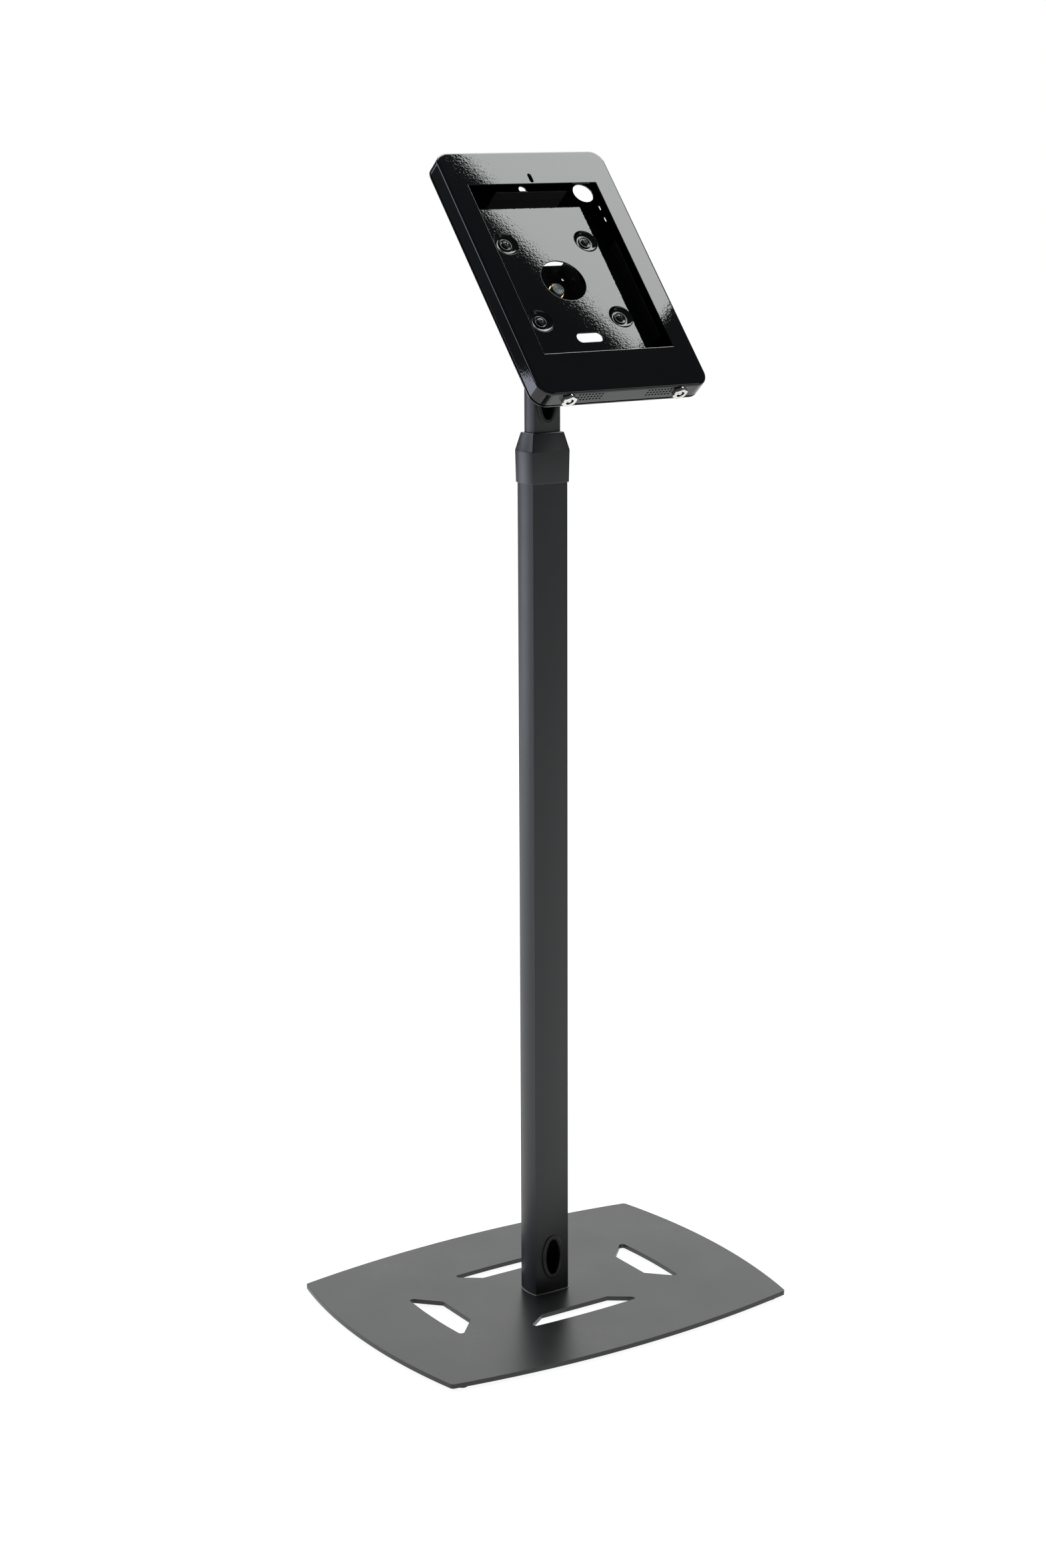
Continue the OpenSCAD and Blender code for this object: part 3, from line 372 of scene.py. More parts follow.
# painted light: the column's satin coat with its colour raised, to make up for the shade the enclosure casts
# on the tube
SATIN_TUBE_PAINTED_LIGHTER = Finish("satin_tube_coat_painted_lighter", (0.034, 0.035, 0.037), (0.08, 0.08, 0.082), (0.34, 0.42),
                    wave=1100.0, grain=3800.0, share=0.6, relief=0.00005, round=0.0006, wear=0.2)
MOULDED = Finish("moulded_collar", (0.024, 0.025, 0.0268), (0.05, 0.05, 0.052), (0.30, 0.38),
                 wave=900.0, grain=3000.0, share=0.7, relief=0.00004, round=0.0006, wear=0.15)
RING = Finish("moulded_ring", (0.012, 0.0125, 0.013), (0.04, 0.04, 0.042), (0.3, 0.4),
              wave=900.0, grain=3000.0, share=0.7, relief=0.00004, round=0.0004, wear=0.15)
SLIDE = Finish("slide_plastic", (0.03, 0.03, 0.03), (0.06, 0.06, 0.06), (0.4, 0.5),
               wave=700.0, grain=2600.0, relief=0.00003, wear=0.1)
RUBBER = Finish("foot_rubber", (0.012, 0.012, 0.012), (0.03, 0.03, 0.03), (0.7, 0.85),
                wave=500.0, grain=2500.0, share=0.8, relief=0.00008, specular=0.3, wear=0.2)
# painted highlight: the pale colour stands for the light line along the column's foot
SEAL_PAINTED_HIGHLIGHT = Finish("pale_seal", (0.30, 0.27, 0.22), (0.42, 0.38, 0.32), (0.45, 0.6),
              wave=500.0, grain=2500.0, share=0.6, relief=0.00005, round=0.0002, wear=0.2)
CHROME = Finish("lock_chrome", (0.60, 0.59, 0.57), (0.9, 0.89, 0.87), (0.05, 0.12), metal=1.0,
                wave=400.0, grain=1600.0, relief=0.000008, round=0.0003, wear=0.3)
ZINC = Finish("zinc_plate", (0.52, 0.53, 0.55), (0.65, 0.66, 0.67), (0.22, 0.36), metal=1.0,
              wave=600.0, grain=2400.0, share=0.5, relief=0.00002, round=0.0003, wear=0.3)
OXIDE = Finish("black_oxide", (0.10, 0.105, 0.11), (0.3, 0.3, 0.3), (0.28, 0.4), metal=0.85,
               wave=700.0, grain=2600.0, share=0.5, relief=0.00002, round=0.0003, wear=0.35)
BRASS = Finish("bearing_brass", (0.62, 0.42, 0.16), (0.75, 0.56, 0.28), (0.2, 0.34), metal=1.0,
               wave=700.0, grain=2600.0, relief=0.00002, round=0.0002, wear=0.3)
WASHER = Finish("black_washer", (0.004, 0.004, 0.0045), (0.1, 0.1, 0.1), (0.06, 0.12),
                wave=600.0, grain=1900.0, share=0.3, relief=0.000012, round=0.0003, wear=0.2)
HEAD = Finish("blued_screw", (0.055, 0.062, 0.068), (0.25, 0.25, 0.26), (0.24, 0.34), metal=0.75,
              wave=900.0, grain=2600.0, share=0.5, relief=0.00001, round=0.00015, wear=0.3)
CAP = Finish("turned_cap", (0.135, 0.145, 0.15), (0.3, 0.3, 0.3), (0.3, 0.4), metal=0.8,
             wave=900.0, grain=3000.0, share=0.5, relief=0.000008, round=0.0002, wear=0.2)
CAST = Finish("cast_head", (0.33, 0.335, 0.34), (0.5, 0.5, 0.5), (0.4, 0.55), metal=0.9,
              wave=420.0, grain=1500.0, share=0.5, relief=0.00006, round=0.0006, wear=0.25)

NODE_FINISH: dict[str, Finish] = {
    "base_plate": PLATE, "rubber_feet": RUBBER, "base_screws": ZINC, "column_block": CAST,
    "column_seal": SEAL_PAINTED_HIGHLIGHT, "outer_column": SATIN, "lower_port_ring": RING, "guide_bush": SLIDE,
    "collar": MOULDED, "height_lock_screw": ZINC, "inner_tube": SATIN_TUBE_PAINTED_LIGHTER, "tube_glide": SLIDE,
    "upper_port_ring": RING, "tilt_head": CAST, "tilt_head_pins": ZINC, "tilt_bracket": BRACKET,
    "tilt_bolt": ZINC, "tilt_nut": ZINC, "tilt_friction_discs": SLIDE, "pivot_bolt": OXIDE,
    "pivot_bearing_ring": BRASS, "pivot_friction_disc": SLIDE, "pivot_spring_washer": ZINC,
    "pivot_nut": ZINC, "channel_bracket": BRACKET, "back_tray": GLOSS_TRAY, "bracket_screws": OXIDE,
    "bracket_washers": WASHER, "bracket_nuts": ZINC, "rest_rail_top": RAIL_PAINTED_LIGHTER,
    "rest_rail_bottom": RAIL_PAINTED_LIGHTER, "rest_rail_left": RAIL_PAINTED_LIGHTER, "rest_rail_right": RAIL_PAINTED_LIGHTER,
    "front_cover": GLOSS, "lock_body_left": CHROME, "lock_body_right": CHROME,
    "lock_nut_left": ZINC, "lock_nut_right": ZINC, "lock_core_left": CHROME,
    "lock_core_right": CHROME, "lock_cam_left": ZINC, "lock_cam_right": ZINC,
    "cam_screw_left": ZINC, "cam_screw_right": ZINC,
}


class Finisher:
    """Builds each finish once and puts it on pieces."""

    def __init__(self) -> None:
        """Builds the shared effects."""
        self.groups = build_groups()
        self.made: dict[str, bpy.types.Material] = {}

    def dress(self, piece: bpy.types.Object, finish: Finish) -> None:
        """Gives a piece one finish all over.

        Args:
            piece: the object to dress.
            finish: what it is dressed in.
        """
        if finish.name not in self.made:
            self.made[finish.name] = finish.build(self.groups)
        piece.data.materials.clear()
        piece.data.materials.append(self.made[finish.name])


# ------------------------------------------------------------------ the stage


@dataclass(frozen=True)
class Panel:
    """One soft panel: its centre, the point it faces, width and height, brightness and colour."""

    name: str
    place: Colour
    aim: Colour
    size: tuple[float, float]
    glow: float
    tint: Colour = (1.0, 1.0, 1.0)

    def build(self) -> None:
        """Makes the panel, its shorter way kept level."""
        way = Vector(self.aim) - Vector(self.place)
        turn = way.to_track_quat("-Z", "Y").to_matrix().to_4x4()
        self.hang(Matrix.Translation(self.place) @ turn)

    def hang(self, matrix: Matrix) -> None:
        """Adds the lamp with a given stance. Its power follows its brightness through its area.

        Args:
            matrix: the lamp's world matrix.
        """
        data = bpy.data.lights.new(self.name, "AREA")
        data.shape = "RECTANGLE"
        data.size, data.size_y = self.size
        data.energy = self.glow * self.size[0] * self.size[1] * math.pi
        data.color = self.tint
        lamp = bpy.data.objects.new(self.name, data)
        lamp.matrix_world = matrix
        lamp.visible_camera = False
        bpy.context.scene.collection.objects.link(lamp)


PANELS = (
    Panel("back_wall", (3.1, 4.5, 2.4), (0.0, 0.0, 0.1), (3.6, 2.6), 1.45),
    Panel("left_sweep", (-1.9, 2.35, 0.42), (0.0, 0.0, 0.60), (1.7, 0.74), 3.2, (0.80, 0.84, 1.0)),
    Panel("left_window", (-2.54, 1.31, 2.17), (0.0, 0.0, 1.1), (0.9, 1.1), 4.0, (0.78, 0.83, 1.0)),
    Panel("left_high", (-1.65, 2.75, 1.95), (0.0, 0.0, 1.0), (1.6, 0.9), 2.3, (0.86, 0.9, 1.0)),
    Panel("front_fill", (2.3, -2.9, 1.9), (0.0, 0.0, 0.9), (0.9, 1.2), 1.3),
)


@dataclass
class Studio:
    """The pale floor, the soft lights and the camera.

    The overhead panel is level; along and inward are its directions, and its corner is where
    its two near edges meet.
    """

    floor_half: float = 14.0
    floor_glow: float = 0.93
    floor_far_glow: float = 0.05
    shown_reach: tuple[float, float] = (0.8, 4.5)
    mirrored_reach: tuple[float, float] = (3.0, 6.5)
    room_tint: Colour = (0.88, 0.94, 1.0)
    room_glow: float = 0.09
    overhead: Panel = Panel("overhead", (0.93, -0.30, 2.6), (0.0, 0.0, 0.0), (2.4, 1.8), 7.0,
                            (0.97, 1.0, 0.985))
    overhead_along: Colour = (0.785, -0.62, 0.0)
    overhead_inward: Colour = (0.62, 0.785, 0.0)
    overhead_shift: float = 0.28
    eye: Colour = (-1.6723, -2.5337, 1.3248)
    target: Colour = (-0.01896, 0.01231, 0.56205)
    roll: float = math.radians(-0.269)
    lens: float = 64.92
    shift_y: float = 0.0241

    def build(self) -> None:
        """Makes everything that isn't part of the kiosk."""
        self._floor()
        self._world()
        self._lights()
        self._camera()

    def _floor(self) -> None:
        """A square pale floor that glows a little, so that it stays even."""
        h = self.floor_half
        mesh = bpy.data.meshes.new("floor")
        mesh.from_pydata([(-h, -h, 0), (h, -h, 0), (h, h, 0), (-h, h, 0)], [], [(0, 1, 2, 3)])
        floor = bpy.data.objects.new("floor", mesh)
        bpy.context.scene.collection.objects.link(floor)
        material = bpy.data.materials.new("pale_floor")
        material.use_nodes = True
        body = material.node_tree.nodes["Principled BSDF"]
        body.inputs["Base Color"].default_value = (0.2, 0.2, 0.2, 1)
        body.inputs["Roughness"].default_value = 0.9
        body.inputs["Specular IOR Level"].default_value = 0.0
        body.inputs["Emission Strength"].default_value = 1.0
        w = Wiring(material.node_tree)
        where = w.add("ShaderNodeTexCoord").outputs["Object"]
        away = w.add("ShaderNodeVectorMath", {0: where}, operation="LENGTH").outputs["Value"]
        shown = w.spread(away, *self.shown_reach, self.floor_glow, 1.0)
        mirrored = w.spread(away, *self.mirrored_reach, self.floor_glow, self.floor_far_glow)
        seen = w.add("ShaderNodeLightPath").outputs["Is Camera Ray"]
        glow = w.add("ShaderNodeMix", {0: seen, 2: mirrored, 3: shown}).outputs[0]
        material.node_tree.links.new(glow, body.inputs["Emission Color"])
        mesh.materials.append(material)

    def _world(self) -> None:
        """White behind the kiosk, and a dim room all round for the reflections."""
        world = bpy.data.worlds.new("studio")
        bpy.context.scene.world = world
        world.use_nodes = True
        tree = world.node_tree
        tree.nodes.clear()
        w = Wiring(tree)
        room = w.add("ShaderNodeBackground", {"Color": (*self.room_tint, 1), "Strength": self.room_glow})
        white = w.add("ShaderNodeBackground", {"Color": (1, 1, 1, 1), "Strength": 1.0})
        seen = w.add("ShaderNodeLightPath").outputs["Is Camera Ray"]
        mix = w.add("ShaderNodeMixShader", {0: seen, 1: room.outputs[0], 2: white.outputs[0]})
        out = w.add("ShaderNodeOutputWorld")
        tree.links.new(mix.outputs[0], out.inputs["Surface"])

    def _lights(self) -> None:
        """The level overhead panel and the panels round the kiosk."""
        along, inward = Vector(self.overhead_along), Vector(self.overhead_inward)
        long, wide = self.overhead.size
        corner = Vector(self.overhead.place) + along * self.overhead_shift
        centre = corner - along * long / 2 + inward * wide / 2
        self.overhead.hang(Matrix((
            (along.x, inward.x, 0, centre.x), (along.y, inward.y, 0, centre.y),
            (0, 0, 1, centre.z), (0, 0, 0, 1))))
        for panel in PANELS:
            panel.build()

    def _camera(self) -> None:
        """The camera, from the eye to the target, rolled a touch."""
        data = bpy.data.cameras.new("camera")
        data.sensor_width = 36.0
        data.lens = self.lens
        data.shift_y = self.shift_y
        camera = bpy.data.objects.new("camera", data)
        eye, target = Vector(self.eye), Vector(self.target)
        turn = (target - eye).to_track_quat("-Z", "Y").to_matrix()
        turn = turn @ Matrix.Rotation(self.roll, 3, "Z")
        camera.matrix_world = Matrix.Translation(eye) @ turn.to_4x4()
        bpy.context.scene.collection.objects.link(camera)
        bpy.context.scene.camera = camera
        bpy.context.scene.view_settings.view_transform = "Standard"


# ------------------------------------------------------------------ surfaces


@dataclass(frozen=True)
class Axes:
    """A right-handed frame for a piece: an origin and three unit directions."""

    origin: np.ndarray
    x: np.ndarray
    y: np.ndarray
    z: np.ndarray

    def place(self, points: np.ndarray) -> np.ndarray:
        """Turns local points into world points: origin + x·X + y·Y + z·Z.

        Args:
            points: local points, with the last axis x, y and z.

        Returns:
            World points in the same layout.
        """
        return self.origin + points[..., :1] * self.x + points[..., 1:2] * self.y + points[..., 2:3] * self.z


class Maker:
    """Turns grids of points into meshes that ride on the frame."""

    def __init__(self, finisher: Finisher) -> None:
        """Keeps the finisher that dresses each piece.

        Args:
            finisher: builds the materials.
        """
        self.finisher = finisher

    @staticmethod
    def faces(rows: int, columns: int, close_rows: bool, close_columns: bool) -> np.ndarray:
        """The quads of a grid, whose point (i, j) has the number i * columns + j.

        Args:
            rows: how many rows of points.
            columns: how many points in a row.
            close_rows: joins the last row to the first.
            close_columns: joins each row's end to its start.

        Returns:
            An array of four point numbers for each quad.
        """
        i = np.arange(rows if close_rows else rows - 1)[:, None]
        j = np.arange(columns if close_columns else columns - 1)[None, :]
        below, right = (i + 1) % rows, (j + 1) % columns
        corners = (i * columns + j, i * columns + right, below * columns + right, below * columns + j)
        return np.stack(np.broadcast_arrays(*corners), axis=-1).reshape(-1, 4)

    def piece(self, name: str, grids: list[tuple[np.ndarray, bool, bool]], finish: Finish, body: str,
              slot: str, stands_for: tuple[str, ...] = ()) -> bpy.types.Object:
        """Makes one piece out of one or more grids of points.

        Args:
            name: the piece's name.
            grids: world points (rows, columns, 3), whether rows close and whether columns close.
            finish: what it is dressed in.
            body: the body it rides on.
            slot: the record's slot of its finish; not used.
            stands_for: the CAD nodes that it replaces.

        Returns:
            The finished object.
        """
        points, quads, start = [], [], 0
        for grid, close_rows, close_columns in grids:
            rows, columns = grid.shape[:2]
            points.append(grid.reshape(-1, 3))
            quads.append(self.faces(rows, columns, close_rows, close_columns) + start)
            start += rows * columns
        mesh = bpy.data.meshes.new(name)
        mesh.from_pydata(np.concatenate(points).tolist(), [], np.concatenate(quads).tolist())
        work = bmesh.new()
        work.from_mesh(mesh)
        bmesh.ops.remove_doubles(work, verts=work.verts, dist=MERGE)
        bmesh.ops.dissolve_degenerate(work, edges=work.edges, dist=MERGE)
        bmesh.ops.recalc_face_normals(work, faces=work.faces)
        work.to_mesh(mesh)
        work.free()
        mesh.shade_smooth()
        made = bpy.data.objects.new(name, mesh)
        bpy.context.scene.collection.objects.link(made)
        mesh.set_sharp_from_angle(angle=SHARP_ANGLE)
        self.finisher.dress(made, finish)
        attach(made, body)
        if stands_for:
            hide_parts(*stands_for)
        LOG.info("made %s: %d faces, on %s", name, len(mesh.polygons), body)
        return made


def turned(axes: Axes, profile: np.ndarray, sides: int = 96) -> np.ndarray:
    """A turned surface: each profile point (r, h) carried round the z axis.

    Point (i, j) = (r_i cos a_j, r_i sin a_j, h_i), with a_j = 2 pi j / sides.

    Args:
        axes: where the axis stands.
        profile: rows of radius and height.
        sides: points in one turn.

    Returns:
        World points (profile rows, sides, 3).
    """
    angle = np.linspace(0.0, 2.0 * np.pi, sides, endpoint=False)
    r, h = profile[:, :1], profile[:, 1:2]
    local = np.stack([r * np.cos(angle), r * np.sin(angle), h + 0.0 * angle], axis=-1)
    return axes.place(local)


def rounded(corners: list[tuple[float, float, float]], steps: int = 5, closed: bool = False) -> np.ndarray:
    """A profile of straight runs whose corners are rounded.

    Each corner (a, b, radius) gives the points of a quadratic curve: it leaves the run
    before the corner and meets the run after it at a distance of radius, or less where a
    run is short. With radius 0 the corner is one point.

    Args:
        corners: the corner points with their radii.
        steps: points on a rounded corner, less one.
        closed: joins the last corner to the first.

    Returns:
        Rows of two numbers.
    """
    places = np.array([c[:2] for c in corners], dtype=float)
    count = len(corners)
    rows = []
    for k, (a, b, radius) in enumerate(corners):
        here = places[k]
        if radius == 0 or (not closed and k in (0, count - 1)):
            rows.append(here[None, :])
            continue
        before, after = places[k - 1] - here, places[(k + 1) % count] - here
        long_before, long_after = np.linalg.norm(before), np.linalg.norm(after)
        reach = min(radius, 0.49 * long_before, 0.49 * long_after)
        start, end = here + before / long_before * reach, here + after / long_after * reach
        t = np.linspace(0.0, 1.0, steps + 1)[:, None]
        rows.append((1 - t) ** 2 * start + 2 * t * (1 - t) * here + t ** 2 * end)
    return np.concatenate(rows)


SETTLE_STEPS = 12


@dataclass(frozen=True)
class BowedPlan:
    """The outline of a tube with four bowed faces, with its corners rounded.

    Each face is an arc whose chord is the width or the depth; grown by c, the arcs keep
    their centres and their radii grow by c.
    """

    width: float
    depth: float
    bow_x: float
    bow_y: float

    def outline(self, grow: float, corner: float, face_steps: int = 14, corner_steps: int = 6) -> np.ndarray:
        """Points round the outline, anticlockwise from the +x side's middle.

        Point = centre + radius * (cos n, sin n), where n is the outward direction: the
        side arc for n up to where it meets the corner, the corner's own small arc, and
        then the front or back arc. One quarter is worked out and mirrored twice.

        Args:
            grow: how far the outline is grown.
            corner: the corner radius.
            face_steps: points on half a face.
            corner_steps: points on a corner.

        Returns:
            Rows of x and y.
        """
        side_r = (self.depth ** 2 / 4 + self.bow_x ** 2) / (2 * self.bow_x)
        front_r = (self.width ** 2 / 4 + self.bow_y ** 2) / (2 * self.bow_y)
        side_x = self.width / 2 + self.bow_x - side_r
        front_y = self.depth / 2 + self.bow_y - front_r
        r1, r2 = side_r + grow - corner, front_r + grow - corner
        x, y = self.width / 2 + grow - corner, self.depth / 2 + grow - corner
        for _ in range(SETTLE_STEPS):
            x = side_x + math.sqrt(r1 * r1 - y * y)
            y = front_y + math.sqrt(r2 * r2 - x * x)
        n1, n2 = math.atan2(y, x - side_x), math.atan2(y - front_y, x)
        side = np.linspace(0.0, n1, face_steps)
        turn = np.linspace(n1, n2, corner_steps)
        front = np.linspace(n2, np.pi / 2, face_steps)
        full1, full2 = side_r + grow, front_r + grow
        quarter = np.concatenate([
            np.stack([side_x + full1 * np.cos(side), full1 * np.sin(side)], axis=1),
            np.stack([x + corner * np.cos(turn), y + corner * np.sin(turn)], axis=1)[1:-1],
            np.stack([full2 * np.cos(front), front_y + full2 * np.sin(front)], axis=1)])
        half = np.concatenate([quarter, (quarter * (-1, 1))[-2::-1]])
        return np.concatenate([half, (half * (1, -1))[-2:0:-1]])


PLAN_CORNER = 0.0009
COLUMN_PLAN = BowedPlan(0.044, 0.0306, 0.0023, 0.0014)
TUBE_PLAN = BowedPlan(0.0333, 0.0191, 0.0016, 0.001)


# ------------------------------------------------------------------ pieces on the column


@dataclass(frozen=True)
class Collar:
    """The moulded collar: a skirt with a rolled foot, a shoulder and a taper up to a lip."""

    shoulder: float = 0.0345
    wall: float = 0.0023
    draft: float = 0.0007
    over: float = 0.0245
    lip: float = -0.00315
    seat: float = 0.0001
    run: float = 0.0003

    def build(self, maker: Maker) -> None:
        """Lofts the closed section through the outlines of the column and the tube.

        Args:
            maker: turns the grids into pieces.
        """
        low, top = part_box("collar")[0][2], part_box("collar")[1][2]
        shoulder = low + self.shoulder
        outer = rounded([
            (self.seat, low, 0.0), (self.wall - self.draft, low, 0.0015), (self.wall, shoulder, 0.0007),
            (self.lip, top, 0.0011), (self.lip - 0.0022, top, 0.0)], 6)
        rows = [COLUMN_PLAN.outline(c, PLAN_CORNER) for c, _ in outer[:-1]]
        heights = [z for _, z in outer[:-1]]
        mouth = rounded([
            (self.run + 0.001, top, 0.0), (self.run, top, 0.0007), (self.run, low + self.over, 0.0)], 4)
        rows += [TUBE_PLAN.outline(c, PLAN_CORNER) for c, _ in mouth]
        heights += [z for _, z in mouth]
        rows.append(COLUMN_PLAN.outline(self.seat, PLAN_CORNER))
        heights.append(low + self.over)
        flat = np.array(rows)
        tall = np.broadcast_to(np.array(heights)[:, None, None], (*flat.shape[:2], 1))
        grid = np.concatenate([flat, tall], axis=-1)
        maker.piece("collar_moulding", [(grid, True, True)], MOULDED, "base", "black_moulding", ("collar",))


@dataclass(frozen=True)
class FootSeal:
    """The bead round the column's foot, whose pale colour is a painted highlight line along the foot."""

    bulge: float = 0.0011
    inside: float = -0.0018
    over: float = 0.0002

    def build(self, maker: Maker) -> None:
        """Carries a half-round section round the column's outline.

        Args:
            maker: turns the grids into pieces.
        """
        low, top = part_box("column_seal")[0][2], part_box("column_seal")[1][2]
        turn = np.linspace(-np.pi / 2, np.pi / 2, 9)
        middle, half = (low + top) / 2, (top - low) / 2 + self.over
        grow = np.concatenate([[self.inside], self.bulge * np.cos(turn), [self.inside]])
        tall = np.concatenate([[low], middle + half * np.sin(turn), [top]])
        tall = np.clip(tall, low, None)
        flat = np.array([COLUMN_PLAN.outline(c, PLAN_CORNER) for c in grow])
        rows = np.broadcast_to(tall[:, None, None], (*flat.shape[:2], 1))
        grid = np.concatenate([flat, rows], axis=-1)
        maker.piece("column_foot_seal", [(grid, True, True)], SEAL_PAINTED_HIGHLIGHT, "base", "pale_seal", ("column_seal",))


@dataclass(frozen=True)
class PortRing:
    """A cable port's ring: an oval face with rolled edges, and a sleeve through the wall."""

    node: str
    body: str
    plan: BowedPlan
    wall: float
    width: float = 0.0285
    height: float = 0.052
    rim: float = 0.005
    proud: float = 0.0015
    sleeve: float = 0.0011
    behind: float = 0.0012
    root: float = -0.0006
    end_share: float = 0.36

    def oval(self, grow: float, sides: int = 160) -> np.ndarray:
        """Points of the oval, from its outward directions.

        The side arcs hold directions near x and the end arcs those near z; each arc's
        radius grows by the given amount while its centre stays.

        Args:
            grow: how far the oval is grown.
            sides: points in one turn.

        Returns:
            Rows of x and z.
        """
        end_r = self.width * self.end_share
        rise = self.height / 2 - end_r
        side_r = (rise ** 2 + self.width ** 2 / 4 - end_r ** 2) / (self.width - 2 * end_r)
        reach = side_r - self.width / 2
        n = np.linspace(0.0, 2.0 * np.pi, sides, endpoint=False)
        on_side = np.abs(np.sin(n)) * reach < np.abs(np.cos(n)) * rise
        radius = np.where(on_side, side_r, end_r) + grow
        cx = np.where(on_side, -np.sign(np.cos(n)) * reach, 0.0)
        cz = np.where(on_side, 0.0, np.sign(np.sin(n)) * rise)
        return np.stack([cx + radius * np.cos(n), cz + radius * np.sin(n)], axis=1)

    def build(self, maker: Maker) -> None:
        """Carries the ring's section round the oval, its back following the bowed face.

        Args:
            maker: turns the grids into pieces.
        """
        box_low, box_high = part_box(self.node)
        front, middle = box_low[1], (box_low[2] + box_high[2]) / 2
        inner, back = -self.rim, -self.wall - self.behind
        section = rounded([
            (0.0, self.root, 0.0), (0.0, self.proud, 0.0010), (inner, self.proud, 0.0009),
            (inner, back, 0.0003), (inner + self.sleeve, back, 0.0003),
            (inner + self.sleeve, self.root, 0.0)], 6, True)
        flat = np.array([self.oval(c) for c, _ in section])
        depth = section[:, 1][:, None]
        bow_r = (self.plan.width ** 2 / 4 + self.plan.bow_y ** 2) / (2 * self.plan.bow_y)
        drop = bow_r - np.sqrt(bow_r ** 2 - flat[..., 0] ** 2)
        share = np.clip(1.0 - depth / self.proud, 0.0, 1.0)
        y = front + self.proud - depth + drop * share
        grid = np.stack([flat[..., 0], y, middle + flat[..., 1]], axis=-1)
        name = self.node.replace("_ring", "_surround")
        maker.piece(name, [(grid, True, True)], RING, self.body, "black_moulding", (self.node,))


# ------------------------------------------------------------------ pieces on the enclosure


def joint(name: str) -> dict:
    """The frame's row for one joint.

    Args:
        name: the joint's name.

    Returns:
        Its row, with its place and axis.
    """
    return next(row for row in frame["joints"] if row["name"] == name)


def enclosure_axes(u: float, v: float, n: float) -> Axes:
    """The enclosure's directions, from its turning joint, at a point (u, v, n) in metres.

    Args:
        u: across.
        v: up the face.
        n: out of the face.

    Returns:
        The frame at that point.
    """
    row = joint("rotate_hinge")
    out = np.array(row["axis"], dtype=float)
    out = out / np.linalg.norm(out) * (1.0 if out[2] > 0 else -1.0)
    across = np.array([1.0, 0.0, 0.0])
    up = np.cross(out, across)
    place = np.array(row["pos_m"]) + u * across + v * up + n * out
    return Axes(place, across, up, out)


